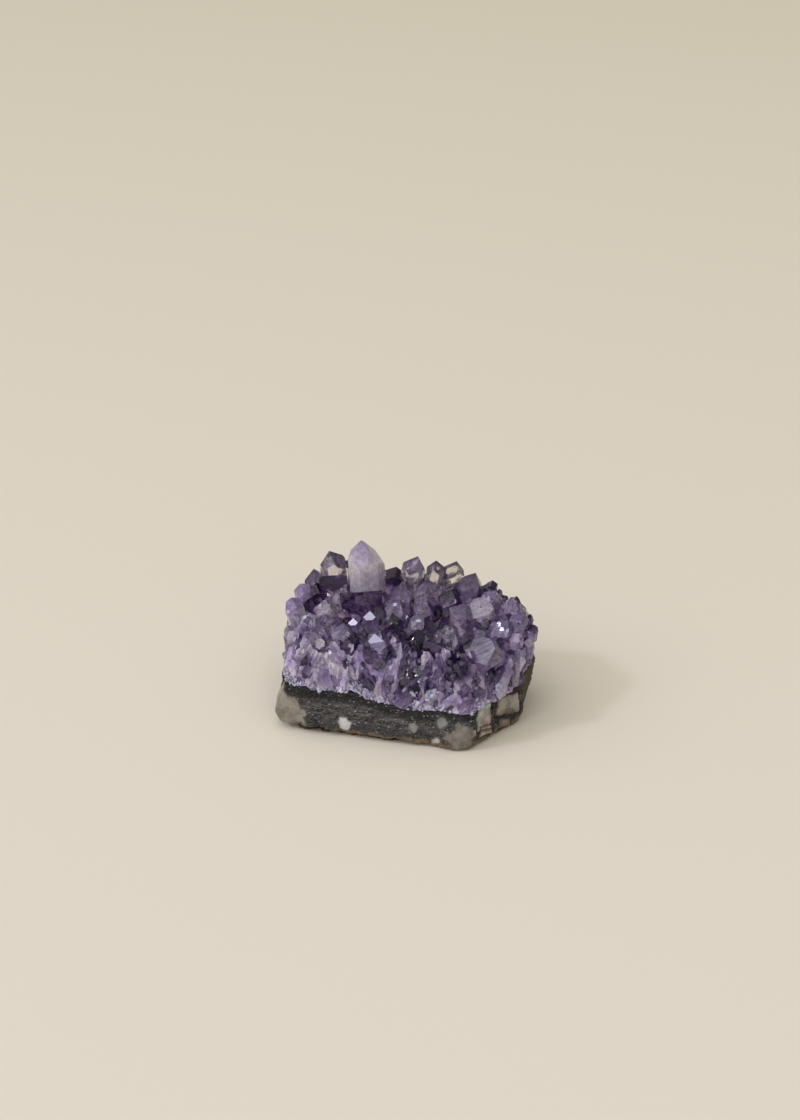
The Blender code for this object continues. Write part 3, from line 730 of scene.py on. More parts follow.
# %% [markdown]
# ## The broken edge
# When the slab was knocked off, the break ran through the crust and left its columns in section:
# narrow facets side by side, each tilted its own way, in a fan that opens upwards. The block that
# cuts this edge is a fine grid rolled into a tube. Every row and column of it stands in from the
# outline by a plain profile, and by a noise that is stretched along the columns.
# %% The profile of the break
# Pairs of a height and how far in the edge stands there. Left and right are added to the sides.
FRONT_INSET = [(8.0, 0.5), (12.0, 0.6), (14.0, 1.1), (17.0, 2.3), (20.0, 4.0), (22.5, 5.8),
               (24.2, 7.2), (27.0, 9.0), (31.0, 11.0), (60.0, 14.0)]
SIDE_INSET = [(8.0, 0.6), (12.0, 0.7), (20.0, 0.8), (60.0, 0.5)]
LEFT_INSET = [(8.0, 1.6), (12.0, 1.7), (16.0, 1.1), (19.0, 0.3), (23.0, -0.5), (60.0, -0.5)]
RIGHT_INSET = [(12.0, 0.3), (15.0, 0.5), (19.0, 0.3), (23.0, -0.3), (60.0, -0.3)]


def along_table(table, value):
    """Reads a table of pairs at a value, with straight lines between them."""
    for (a, first), (b, second) in zip(table, table[1:]):
        if value <= b:
            return first + (second - first) * max(value - a, 0.0) / (b - a)
    return table[-1][1]


def on_front(plain):
    """1 on the front of the stone, 0 on its sides and back."""
    return smooth_step(-9.0, -15.0, plain.y)


def edge_inset(plain, height):
    """How far the broken edge stands in at a height, before its relief."""
    front = on_front(plain)
    left = smooth_step(-22.5, -27.0, plain.x) * smooth_step(6.0, -2.0, plain.y)
    right = smooth_step(27.5, 30.0, plain.x)
    inset = front * along_table(FRONT_INSET, height) + (1.0 - front) * along_table(SIDE_INSET, height)
    return inset + left * along_table(LEFT_INSET, height) + right * along_table(RIGHT_INSET, height)


def streak(along, height, wide, tall, layer):
    """Noise from -1 to 1 in columns that fan out as they rise."""
    fan = 0.35 * math.sin(along * 0.21) + 0.5 * noise.noise(Vector((along * 0.12, 4.0, 0.0)))
    return noise.noise(Vector(((along - fan * (height - 12.0)) / wide, height / tall, layer)))


def edge_relief(along, height, seam):
    """How far the broken edge stands in here, beyond its plain profile."""
    wide, narrow = streak(along, height, 2.2, 7.0, 0.0), streak(along, height, 0.9, 2.6, 5.0)
    depth = 0.5 + 0.9 * wide + 0.4 * narrow
    return max(depth, 0.0) * smooth_step(-0.3, 2.2, height - seam)


print("inset of the front at the top of the crust:", along_table(FRONT_INSET, CRUST_TOP), "mm")

# %% [markdown]
# Where the break ran deep it shows dark, clear purple, and where it bruised the columns they are pale.
# Both are patches with a middle and a radius. Elsewhere the colour comes in streaks along the columns,
# and fades to white sugar at the seam.
# %% Colour of the broken edge
DEEP_PATCHES = [
    ((-1.1, -18.5, 20.2), 2.6), ((5.8, -18.5, 18.9), 3.6), ((17.1, -16.5, 20.6), 3.4),
    ((-19.9, -18.5, 19.0), 1.4), ((11.0, -19.0, 16.6), 2.0), ((27.0, -11.0, 18.0), 2.2),
    ((-5.2, -19.6, 16.2), 0.9),
]
PALE_PATCHES = [
    ((-25.5, -17.5, 18.5), 5.0), ((-12.4, -18.5, 18.0), 2.4), ((24.2, -15.5, 17.5), 2.6),
]
EDGE_SPARKLE = 0.8


def in_patches(place, patches):
    """1 inside any of the patches, 0 outside, and an easy curve between."""
    return max(smooth_step(r + 1.2, r - 1.6, (place - Vector(c)).length) for c, r in patches)


def edge_finish(place, along, height):
    """The finish numbers of the broken edge at a place."""
    deep, pale = in_patches(place, DEEP_PATCHES), in_patches(place, PALE_PATCHES)
    tint = 0.36 + 0.25 * streak(along, height, 1.8, 5.0, 9.0) + 0.25 * patch(*place)
    tint += 0.6 * deep - 0.18 * pale - paler(place.x) - 0.05
    clarity = 0.45 + 0.4 * streak(along, height, 1.4, 4.0, 13.0) + 0.35 * deep - 0.2 * pale
    sugar = smooth_step(1.8, 0.3, height - seam_height(place.x, place.y))
    tint += (-0.25 - tint) * sugar
    return tint, clarity - 0.3 * sugar, EDGE_SPARKLE, SIDE_LINES, 0.0, 0.5


middle_of_break = edge_finish(Vector((0.0, -20.0, 18.0)), 0.0, 18.0)
print("in the middle of the break:", dict(zip(NUMBERS, [round(v, 2) for v in middle_of_break])))

# %% [markdown]
# The block is the grid with its columns set round the outline and its rows at their heights. Its two
# ends meet, so doubles are merged there, and the open top and bottom are filled. A Boolean keeps the
# numbers of its faces, and so the break brings its own colours with it.
# %% Cut the broken edge
EDGE_STEPS = 440
EDGE_ROW = 0.38  # height of a row where the break shows
EDGE_HEIGHTS = [3.0, 8.0] + [9.0 + EDGE_ROW * i for i in range(50)] + [32.0, 46.0]


def edge_point(column, row):
    """Where the vertex in one column and row of the block stands, in the scene."""
    share, height = column % EDGE_STEPS / EDGE_STEPS, EDGE_HEIGHTS[row]
    plain = outline_point(share, 0.0)
    front = on_front(plain)
    fade = front + (1.0 - front) * smooth_step(20.0, 17.0, height)
    relief = edge_relief(share * ROUND, height, seam_height(*plain))
    place = plain * (1.0 - (edge_inset(plain, height) + fade * relief) / plain.length)
    return on_stone((place.x, place.y, height))


def break_edge():
    """The block that the crystals are cut to, with its broken sides."""
    rows = len(EDGE_HEIGHTS) - 1
    bpy.ops.object.select_all(action="DESELECT")
    bpy.ops.mesh.primitive_grid_add(x_subdivisions=EDGE_STEPS, y_subdivisions=rows, size=1.0)
    block = bpy.context.object
    mesh = block.data
    growth_map = mesh.uv_layers.active
    marks = [(round((vert.co.x + 0.5) * EDGE_STEPS), round((vert.co.y + 0.5) * rows))
             for vert in mesh.vertices]
    for loop in mesh.loops:
        column, row = marks[loop.vertex_index]
        growth_map.data[loop.index].uv = (column * ROUND / EDGE_STEPS, EDGE_HEIGHTS[row])
    for vert, mark in zip(mesh.vertices, marks):
        vert.co = edge_point(*mark)
    finishes = []
    for polygon in mesh.polygons:
        (column, row), place = marks[polygon.vertices[0]], in_drawing(polygon.center)
        finishes.append(edge_finish(place, column * ROUND / EDGE_STEPS, EDGE_HEIGHTS[row]))
    write_numbers(mesh, "FACE", NUMBERS, finishes)
    edit_all(block)
    bpy.ops.mesh.remove_doubles(threshold=SAME_PLACE)
    bpy.ops.mesh.select_all(action="DESELECT")
    bpy.ops.mesh.select_mode(type="EDGE")
    bpy.ops.mesh.select_non_manifold()
    bpy.ops.mesh.fill_holes(sides=0)
    bpy.ops.mesh.select_mode(type="VERT")
    bpy.ops.mesh.select_all(action="SELECT")
    bpy.ops.mesh.quads_convert_to_tris()
    face_outwards()
    return block


broken_block = break_edge()
apply_modifier(amethyst, "BOOLEAN", operation="INTERSECT", solver="MANIFOLD", object=broken_block)
print(shown_size(amethyst))

# %% [markdown]
# ## Needles and grains on the broken edge
# A break through quartz isn't one clean sheet: thin columns that parted along their own faces stand a
# little proud of it, and sugary grains line the seam. They are grown on after the cut, so that they
# keep their crisp shapes, and each finds the face of the break by the same profile.
# %% Strew needles and grains
NEEDLE_SPACING, NEEDLE_TIERS, NEEDLE_STEP = 1.6, 7, 2.1
NEEDLE_LENGTH = (4.5, 8.0)
NEEDLES_MISSING = 0.15  # the share that broke off
GRAIN_SPACING, GRAIN_TIERS, GRAIN_STEP = 0.52, 6, 0.55
GRAIN_LENGTH = 1.5


def edge_place(share, height, proud):
    """A place on the broken edge, and the direction that looks out of it."""
    plain = outline_point(share, 0.0)
    flat = plain * (1.0 - (edge_inset(plain, height) - proud) / plain.length)
    return Vector((flat.x, flat.y, height)), level(plain)


def round_the_edge(spacing, tiers, shift):
    """Places in tiers round the edge: tier, number, share of the way round, and outline point."""
    steps = round(ROUND / spacing)
    for tier in range(tiers):
        for i in range(steps):
            share = (i + shift * tier + fine.uniform(-0.4, 0.4)) / steps
            yield tier, i, share, outline_point(share, 0.0)


def grow_needles():
    """Thin columns that fan out over the break, in the colours of the break behind them."""
    for tier, i, share, plain in round_the_edge(NEEDLE_SPACING, NEEDLE_TIERS, 0.4):
        height = seam_height(*plain) + 2.6 + NEEDLE_STEP * tier + fine.uniform(-0.8, 1.2)
        highest = bed_height(*plain) + 2.0 + 4.5 * on_front(plain)
        if height > highest or fine.random() < NEEDLES_MISSING:
            continue
        width = 1.3 + 2.6 * fine.random() ** 1.6
        tip, outward = edge_place(share, height, fine.uniform(-0.6, 0.3))
        fan = math.sin(share * ROUND * 0.21) * 0.3 + fine.gauss(0.0, 0.25)
        axis = UP + outward * fine.uniform(0.0, 0.35) + sideways(outward) * fan
        root = tip - axis.normalized() * fine.uniform(*NEEDLE_LENGTH)
        tint, clarity, *_ = edge_finish(tip, share * ROUND, height)
        stand_point(f"needle_{tier}_{i}", tip, root, width, *any_habit(fine),
                    tint + fine.uniform(-0.25, 0.2), clarity + fine.uniform(-0.25, 0.4),
                    fine.uniform(0.2, 1.0), needles)


def grow_grains():
    """Sugary grains along the seam, in crowds, fewer the higher they sit."""
    for tier, i, share, plain in round_the_edge(GRAIN_SPACING, GRAIN_TIERS, 0.33):
        crowd = noise.noise(Vector((plain.x * 0.25, plain.y * 0.25, 2.0)))
        if fine.random() < 0.3 * tier - 1.3 * crowd:
            continue
        height = seam_height(*plain) + 0.45 + tier * GRAIN_STEP + fine.uniform(0.0, 0.6)
        tip, outward = edge_place(share, height, fine.uniform(0.1, 0.8))
        lean = outward + Vector((fine.gauss(0, 0.5), fine.gauss(0, 0.5), fine.uniform(0.4, 1.8)))
        stand_point(f"grain_{tier}_{i}", tip, tip - lean.normalized() * GRAIN_LENGTH,
                    0.35 + 0.75 * fine.random() ** 2, *any_habit(fine), fine.uniform(-0.35, 0.10),
                    fine.uniform(0.0, 0.55), fine.random(), grains)


grow_needles()
grow_grains()
for number, (middle, radius) in enumerate(ROSETTES):
    rosette(number, middle, radius, grains)
for points in (needles, grains):
    grow_together(amethyst, points)
print(shown_size(amethyst))

# %% [markdown]
# The crust ends at the seam. A sheet that follows the seam, thickened downwards, is the cutter that
# takes away what would stand in the rock. The cut itself is left clear, so that the points show the
# dark rock through it.
# %% Cut the crystals off at the seam
SHEET_LENGTH, SHEET_DEPTH, SHEET_THICKNESS = 76.0, 54.0, 20.0
SHEET_GAP = 0.1  # how far the quartz stays above the seam


def seam_cutter():
    """A block from below the stone up to the seam."""
    bpy.ops.object.select_all(action="DESELECT")
    bpy.ops.mesh.primitive_grid_add(x_subdivisions=90, y_subdivisions=64, size=1.0)
    cutter = bpy.context.object
    for vert in cutter.data.vertices:
        x, y = vert.co.x * SHEET_LENGTH, vert.co.y * SHEET_DEPTH
        ripple = 0.35 * noise.noise(Vector((x, y, 0.0)) * 0.9)
        vert.co = on_stone((x, y, seam_height(x, y) + SHEET_GAP + ripple))
    edit_all(cutter)
    down = (0.0, 0.0, -SHEET_THICKNESS * MM)
    bpy.ops.mesh.extrude_region_move(TRANSFORM_OT_translate={"value": down})
    face_outwards()
    label(cutter.data, WHOLE, tint=1.0, clarity=1.2)
    return cutter


def keep_outer_shell(obj):
    """Deletes every shell but the one that the highest vertex belongs to."""
    only(obj)
    bpy.ops.object.mode_set(mode="EDIT")
    bpy.ops.mesh.select_all(action="DESELECT")
    bpy.ops.object.mode_set(mode="OBJECT")
    top = max(obj.data.vertices, key=lambda vert: vert.co.z)
    top.select = True
    bpy.ops.object.mode_set(mode="EDIT")
    bpy.ops.mesh.select_linked()
    bpy.ops.mesh.select_all(action="INVERT")
    bpy.ops.mesh.delete(type="VERT")
    bpy.ops.object.mode_set(mode="OBJECT")


def held_in_box(place, low, high):
    """The place, held inside a box."""
    return [min(max(v, least), most) for v, least, most in zip(place, low, high)]


cutter = seam_cutter()
apply_modifier(amethyst, "BOOLEAN", operation="DIFFERENCE", solver="MANIFOLD", object=cutter)
keep_outer_shell(amethyst)
for vert in amethyst.data.vertices:
    vert.co = held_in_box(vert.co, cad_low, cad_high)
points = [*growth.objects, *needles.objects, *grains.objects]
for helper in [cutter, broken_block, *habits, *worn_habits, *points]:
    bpy.data.objects.remove(helper)
print(shown_size(amethyst))

# %% [markdown]
# ## The basalt
# The rock begins as a copy of its solid. A voxel remesh turns the long triangles into an even skin of
# small faces, and then every vertex is moved along its normal by layers of noise: broad swells, the
# grain of the break, and the pits that gas left in the lava. The smooth lumps of chalcedony hardly
# move. Round lumps have a middle and a radius, and the blocks at the right end are told by how far a
# place is from their middle along, up and out.
# %% Lumps, blocks and pits
LUMPS = [  # middle, radius, colour
    ((-26.5, -19.5, 3.6), 7.3, (148, 141, 132)), ((-9.6, -22.0, 4.7), 1.8, (206, 205, 206)),
    ((7.4, -22.0, 5.6), 1.3, (150, 147, 144)), ((13.0, -21.6, 2.4), 1.2, (186, 182, 178)),
    ((14.5, -21.4, 7.6), 1.1, (132, 134, 132)), ((19.2, -21.0, 3.6), 3.7, (136, 130, 123)),
]
BLOCKS = [  # middle, the way its flat face looks, half its length and height, colour
    ((23.7, -15.2, 7.0), (0.90, -0.42), 2.9, 3.6, (190, 190, 180)),
    ((23.9, -14.6, 3.0), (0.90, -0.42), 2.4, 1.4, (186, 172, 162)),
    ((28.0, -7.8, 6.9), (0.79, -0.61), 3.8, 2.7, (164, 158, 148)),
    ((27.3, -8.8, 2.2), (0.79, -0.61), 2.2, 1.5, (136, 122, 114)),
]


def off_block(place, centre, facing):
    """How far a place is from the middle of a block: along it, up it and out of it."""
    away = place - Vector(centre)
    facing = Vector((*facing, 0.0)).normalized()
    return away.dot(Vector((-facing.y, facing.x, 0.0))), away.z, away.dot(facing)


def smooth_stone(place):
    """How much a place lies on a lump or a block, and how much on the crack round a block."""
    wobble = 1.1 * noise.noise(place * 0.45) + 0.5 * noise.noise(place * 1.4)
    share, crack = 0.0, 0.0
    for centre, radius, _ in LUMPS:
        away = (place - Vector(centre)).length + wobble * min(radius * 0.7, 1.4)
        share = max(share, smooth_step(radius + 0.3, radius - 0.3, away))
    for centre, facing, length, height, _ in BLOCKS:
        along, up, out = off_block(place, centre, facing)
        edge = max(abs(along) - length, abs(up + 0.2 * along) - height) + 0.4 * wobble
        near = smooth_step(3.0, 2.0, abs(out))
        share = max(share, near * smooth_step(0.2, -0.2, edge))
        crack = max(crack, near * smooth_step(0.5, 0.1, abs(edge)))
    return share, crack


def relief(place):
    """How far the broken surface stands out from the plain one, in millimetres."""
    share, crack = smooth_stone(place)
    swell = 0.35 * noise.fractal(place * 0.22, 0.7, 2.0, 3)
    flat = Vector((place.x, place.y, 1.5 * place.z))
    grain = 0.32 * noise.fractal(flat * 0.75, 0.8, 2.0, 2)
    ridge = 0.20 * abs(noise.noise(flat * 1.3))
    near, _ = noise.voronoi(place * 0.42)
    pit = 0.45 * smooth_step(0.32, 0.1, near[0])
    return (swell + grain + ridge - pit) * (1.0 - 0.85 * share) - 0.15 - 0.4 * crack


print(len(LUMPS), "lumps and", len(BLOCKS), "blocks")

# %% [markdown]
# The front edge of the rock is lifted off the table, and a dark foot stands a little further in under
# it. Its near-black, brownish colour is painted shade for the shadowed gap under the lifted edge.
# Nothing moves past the solid's box, and the resting face stays flat.
# %% Roughen the rock
SKIN = 0.34 * MM  # size of the small faces
FRONT_LIFT = 2.5  # how far the front edge is lifted off the table
# Painted shade: along x, how high the dark foot under the lifted front edge reaches.
PAINTED_GAP_SHADE_TOP = [(-22.0, 2.2), (-15.0, 1.8), (-9.0, 1.1), (5.0, 1.1), (12.0, 0.4)]  # x and height
SHADED_FOOT_SET_BACK = 0.7
STONE_NUMBERS = ("waxy", "crack", "brown")


def settle(place):
    """Moves a place on the rock to where the real one has it: a foot closes most of the gap under the
    lifted front edge and carries the painted shade of that gap, the top of the left end stands further
    in, and the foot of the front right corner further out."""
    lift = FRONT_LIFT * smooth_step(20.0, -20.0, place.x) * smooth_step(-12.0, -20.0, place.y)
    height = place.z
    for _ in range(6):
        height = place.z - lift * smooth_step(5.0, 0.0, height)
    closed = smooth_step(-22.4, -21.4, place.x)
    place.z += (max(height, 0.0) - place.z) * (0.45 + 0.55 * closed)
    left = smooth_step(-22.0, -29.0, place.x) * smooth_step(2.0, -3.0, place.y)
    place.x += 1.5 * left * smooth_step(5.0, 12.0, place.z)
    corner = smooth_step(11.0, 17.0, place.x) * smooth_step(24.0, 20.0, place.x)
    place.y -= 1.2 * corner * smooth_step(-12.0, -20.0, place.y) * smooth_step(9.0, 3.0, place.z)
    return place


def painted_gap_shade(place):
    """1 on the foot under the front edge, which stands a little further in, and whose dark colour is
    painted shade for the gap under the lifted edge.
    """
    top = along_table(PAINTED_GAP_SHADE_TOP, place.x)
    ragged = 0.4 * noise.noise(place * 0.8)
    return smooth_step(top + 0.2, top - 0.2, place.z + ragged) * smooth_step(-22.4, -21.6, place.x)


def roughen(rock, low, high):
    """Gives the remeshed rock its broken surface, and writes down where it is smooth, and where its
    foot carries the painted shade of the gap under the front edge.
    """
    normals = [vert.normal.copy() for vert in rock.data.vertices]
    rows = []
    for vert, normal in zip(rock.data.vertices, normals):
        place = in_drawing(vert.co)
        top = smooth_step(-1.2, 0.2, place.z - seam_height(place.x, place.y))
        foot = smooth_step(0.0, 1.2, place.z)
        waxy, crack = smooth_stone(place)
        place += normal * relief(place) * (1.0 - top) * (0.15 + 0.85 * foot)
        place = settle(place)
        # The foot under the lifted front edge is marked for painted shade, and set back a little.
        brown = painted_gap_shade(place) * smooth_step(-12.0, -16.0, place.y)
        place.y += SHADED_FOOT_SET_BACK * brown
        vert.co = held_in_box(on_stone(place), low, high)
        rows.append((waxy, crack, brown))
    write_numbers(rock.data, "POINT", STONE_NUMBERS, rows)


basalt = bpy.data.objects.new("basalt", frame["nodes"]["basalt_matrix"].data.copy())
bpy.context.scene.collection.objects.link(basalt)
edit_all(basalt)
bpy.ops.mesh.remove_doubles(threshold=SAME_PLACE)
bpy.ops.object.mode_set(mode="OBJECT")
apply_modifier(basalt, "REMESH", mode="VOXEL", voxel_size=SKIN)
roughen(basalt, *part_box("basalt_matrix"))
for polygon in basalt.data.polygons:
    polygon.use_smooth = True
print(shown_size(basalt))

# %% [markdown]
# ## Writing finishes as sums
# A finish is easier to read as a formula than as a web of nodes. `Field` stands for a value that
# changes over a surface, and the signs + - * on it add Math nodes. `Finish` holds one material and has
# one method that adds any other node.
# %% A small language for finishes
def tone(red, green, blue):
    """A colour as it looks on a screen, from 0 to 255, as the numbers that light is reckoned with."""
    channels = [c / 255 for c in (red, green, blue)]
    return tuple(c / 12.92 if c <= 0.04045 else ((c + 0.055) / 1.055) ** 2.4 for c in channels)


def set_stops(ramp, stops):
    """Gives a colour ramp its stops, as pairs of a position and a colour."""
    while len(ramp.elements) < len(stops):
        ramp.elements.new(1.0)
    for element, (position, colour) in zip(ramp.elements, stops):
        element.position, element.color = position, (*colour, 1.0)


class Field:
    """The output of a node, which sums and products extend."""

    def __init__(self, finish, socket):
        self.finish, self.socket = finish, socket

    def sum(self, operation, a, b):
        return self.finish.add("Math", {"operation": operation}, {0: a, 1: b})

    def __add__(self, other):
        return self.sum("ADD", self, other)

    def __radd__(self, other):
        return self.sum("ADD", other, self)

    def __sub__(self, other):
        return self.sum("SUBTRACT", self, other)

    def __rsub__(self, other):
        return self.sum("SUBTRACT", other, self)

    def __mul__(self, other):
        return self.sum("MULTIPLY", self, other)

    def __rmul__(self, other):
        return self.sum("MULTIPLY", other, self)

    def limited(self):
        """The value held between 0 and 1."""
        return self.finish.add("Clamp", {}, {"Value": self})

    def step(self, low, high):
        """0 below low, 1 above high, and an easy curve between."""
        settings = {"interpolation_type": "SMOOTHSTEP"}
        return self.finish.add(
            "MapRange", settings, {"Value": self, "From Min": low, "From Max": high},
        )


class Finish:
    """One material, and the method that adds a node to it."""

    def __init__(self, name):
        self.material = bpy.data.materials.new(name)
        self.material.use_nodes = True
        self.tree = self.material.node_tree
        self.tree.nodes.clear()
        self.output = self.tree.nodes.new("ShaderNodeOutputMaterial")

    def add(self, kind, settings=None, values=None, out=0):
        """Adds a node: its settings first, then the values or links of its sockets."""
        node = self.tree.nodes.new("ShaderNode" + kind)
        for name, value in (settings or {}).items():
            if name == "stops":
                set_stops(node.color_ramp, value)
            else:
                setattr(node, name, value)
        for name, value in (values or {}).items():
            if isinstance(value, Field):
                self.tree.links.new(value.socket, node.inputs[name])
            else:
                node.inputs[name].default_value = value
        return Field(self, node.outputs[out])

    def blend(self, share, a, b):
        """Colour a where share is 0, and colour b where it is 1."""
        a, b = [c if isinstance(c, Field) else (*c, 1.0) for c in (a, b)]
        return self.add("Mix", {"data_type": "RGBA"}, {0: share, 6: a, 7: b}, out=2)

    def place(self, scale=1.0, stretch=(1.0, 1.0, 1.0)):
        """The place on the piece, in millimetres times scale."""
        at = self.add("TexCoord", {}, {}, out="Object")
        size = [1000.0 * scale * s for s in stretch]
        return self.add("Mapping", {}, {"Vector": at, "Scale": size})

    def cloud(self, at, detail=2.0, rough=0.5, distortion=0.0):
        """Soft noise from 0 to 1."""
        values = {"Vector": at, "Scale": 1.0, "Detail": detail, "Roughness": rough,
                  "Distortion": distortion}
        return self.add("TexNoise", {}, values)

    def cells(self, at, out="Distance"):
        """Distance from the middle of the nearest cell, or with out, the cell's own Color."""
        return self.add("TexVoronoi", {}, {"Vector": at, "Scale": 1.0}, out=out)

    def vector(self, operation, values, out=0):
        """A sum, product or distance of vectors."""
        return self.add("VectorMath", {"operation": operation}, values, out=out)

    def part(self, vector, number):
        """One of the three numbers of a vector."""
        return self.add("SeparateXYZ", {}, {0: vector}, out=number)

    def bump(self, height, depth, normal=None):
        """A normal bent by height, whose full range is depth in millimetres."""
        values = {"Height": height, "Distance": depth * MM, "Strength": 1.0}
        if normal is not None:
            values["Normal"] = normal
        return self.add("Bump", {}, values)

    def attribute(self, name):
        """A number that was written on the mesh."""
        return self.add("Attribute", {"attribute_name": name}, {}, out="Fac")

    def wear(self, obj, shader, volume=None):
        """Ends the material in its shader, and puts it on a piece."""
        self.tree.links.new(shader.socket, self.output.inputs["Surface"])
        if volume is not None:
            self.tree.links.new(volume.socket, self.output.inputs["Volume"])
        obj.data.materials.clear()
        obj.data.materials.append(self.material)
        print(self.material.name, "finish:", len(self.tree.nodes), "nodes")


print("a mid grey on the screen sends back", round(tone(128, 128, 128)[0], 3), "of the light")

# %% [markdown]
# ## Amethyst
# Clear quartz bends light and lets it through, iron turns it violet, and veils of tiny bubbles make
# it milky. So the finish is two shaders, mixed by how milky a place is: clear violet glass that also
# absorbs a little light on its way through, and a pale waxy body. A point is darkest at its tip, so
# the growth map's second number, the depth below the tip, is in its colour. Fine lines across the
# growth, as on every prism face, come from noise stretched along the same map.
# %% Amethyst finish
QUARTZ_IOR = 1.544
LIGHT_LET_THROUGH, ABSORPTION = (0.52, 0.38, 0.70, 1.0), 60.0
GLASS_TONES = [(0.0, (1.0, 0.99, 0.84)), (0.45, (0.44, 0.33, 0.58)), (1.0, (0.062, 0.029, 0.125))]
BODY_TONES = [(0.0, tone(230, 222, 240)), (0.5, tone(168, 147, 200)), (1.0, tone(64, 40, 96))]
SUGAR_TONE = tone(208, 212, 240)
MIRROR_TILT = 0.70  # how far the small mirrors of a sparkling face are tilted


def amethyst_finish(obj):
    """Clear violet quartz with milky veils in it, and faces that sparkle where the mesh says so."""
    finish = Finish("amethyst")
    tint, clarity, sparkle, lines, frost, facet = [finish.attribute(name) for name in NUMBERS]
    cloud = finish.cloud(finish.place(0.22), detail=3.0, rough=0.6)
    veil = finish.cloud(finish.place(0.9), detail=4.0, rough=0.65, distortion=0.6)
    mottle = finish.cloud(finish.place(2.2), detail=2.0, rough=0.6)

    milk = (0.80 - 0.85 * clarity + 0.8 * (veil - 0.47)).limited()
    growth_map = finish.add("UVMap", {"uv_map": "UVMap"}, {})
    depth = finish.part(growth_map, 1)
    lined = finish.add("Mapping", {}, {"Vector": growth_map, "Scale": (0.35, 5.0, 1.0)})
    stepped = finish.add("Mapping", {}, {"Vector": growth_map, "Scale": (0.12, 1.5, 1.0),
                                         "Rotation": (0.0, 0.0, 0.25)})
    fine_lines = finish.cloud(lined, detail=2.0) * lines.step(0.0, 1.0)
    steps = finish.cloud(stepped, detail=3.0).step(0.42, 0.5) * lines.step(2.0, 3.0)
    purple = tint + 0.7 * (cloud - 0.5) + 0.4 * (facet - 0.5) + 0.3 * (mottle - 0.5)
    purple = (purple + 0.42 * (1.0 - depth.step(1.0, 6.0)) - 0.11 + 0.5 * steps).limited()

    mirrors = finish.cells(finish.place(1.1), out="Color")
    mirrors = finish.vector("SUBTRACT", {0: mirrors, 1: (0.5, 0.5, 0.5)})
    tilt = finish.vector("SCALE", {0: mirrors, "Scale": MIRROR_TILT * sparkle})
    facing = finish.add("NewGeometry", {}, {}, out="Normal")
    facing = finish.vector("NORMALIZE", {0: finish.vector("ADD", {0: facing, 1: tilt})})
    normal = finish.bump(fine_lines * 0.6 + 1.5 * steps, 0.06, facing)

    glass = finish.add("BsdfPrincipled", {}, {
        "Base Color": finish.add("ValToRGB", {"stops": GLASS_TONES}, {"Fac": purple}),
        "Roughness": 0.03 + 0.06 * facet + 0.20 * frost + 0.10 * sparkle,
        "IOR": QUARTZ_IOR, "Transmission Weight": 1.0, "Normal": normal,
    })
    body_colour = finish.add("ValToRGB", {"stops": BODY_TONES}, {"Fac": purple})
    body_colour = finish.blend((-4.0 * tint).limited(), body_colour, SUGAR_TONE)
    body = finish.add("BsdfPrincipled", {}, {
        "Base Color": body_colour, "Roughness": 0.15 + 0.2 * facet + 0.10 * frost, "Normal": normal,
    })
    shader = finish.add("MixShader", {}, {0: milk, 1: glass, 2: body})
    absorbed = finish.add(
        "VolumeAbsorption", {}, {"Color": LIGHT_LET_THROUGH, "Density": ABSORPTION},
    )
    finish.wear(obj, shader, absorbed)


amethyst_finish(amethyst)

# %% [markdown]
# ## Basalt and chalcedony
# The lava is dark grey with light specks of feldspar. Chalcedony fills old gas bubbles in it as
# smooth, waxy, grey-brown lumps and blocks, and iron stains its lower rim ochre. The lumps take their
# colours from the same list as their form, where the mesh says that the stone is smooth.
# %% Basalt finish
STONES = [  # middle, how far its colour reaches whole and fading, share of the dark veins, colour
    *[(middle, r + 0.6, r + 1.2, 0.7 if r > 2.5 else 0.4, shade) for middle, r, shade in LUMPS],
    *[(middle, long + 1.5, long + 2.5, 1.0, shade) for middle, _, long, _, shade in BLOCKS],
]
FLAT, LAYERED = (1.0, 1.0, 2.4), (0.5, 0.5, 2.6)  # how patterns are squeezed into layers
# The colour of the painted shade on the foot under the lifted front edge.
PAINTED_GAP_SHADE_TONE = tone(52, 32, 14)


def lava_colour(finish, grain, aside, height):
    """Dark lava with light layers in its middle, a dark band under the seam, and light specks."""
    broad = finish.cloud(finish.place(0.25, FLAT), detail=3.0)
    fleck = 1.0 - finish.cells(finish.place(0.85, FLAT)).step(0.12, 0.30)
    dust = finish.cloud(finish.place(1.9, FLAT), detail=2.0, rough=0.6).step(0.60, 0.68)
    layers = finish.cloud(finish.place(0.5, LAYERED), detail=4.0, rough=0.6, distortion=0.8)
    shows = finish.cloud(finish.place(0.5, FLAT), detail=2.0).step(0.42, 0.60)
    colour = finish.blend(grain.step(0.32, 0.66), tone(12, 11, 12), tone(98, 96, 98))
    colour = finish.blend(0.5 * broad.step(0.45, 0.66), colour, tone(88, 87, 89))
    middle = height.step(3.5, 5.5) * (1.0 - height.step(8.6, 10.2))
    colour = finish.blend(0.55 * layers.step(0.50, 0.60) * middle, colour, tone(128, 126, 124))
    seam = 12.4 - 2.2 * aside.step(-8.0, 4.0)
    colour = finish.blend(0.6 * (height - seam).step(-3.2, -1.8), colour, tone(22, 21, 21))
    colour = finish.blend(0.9 * fleck * shows, colour, tone(196, 192, 196))
    return finish.blend(0.6 * dust * shows, colour, tone(160, 157, 160))


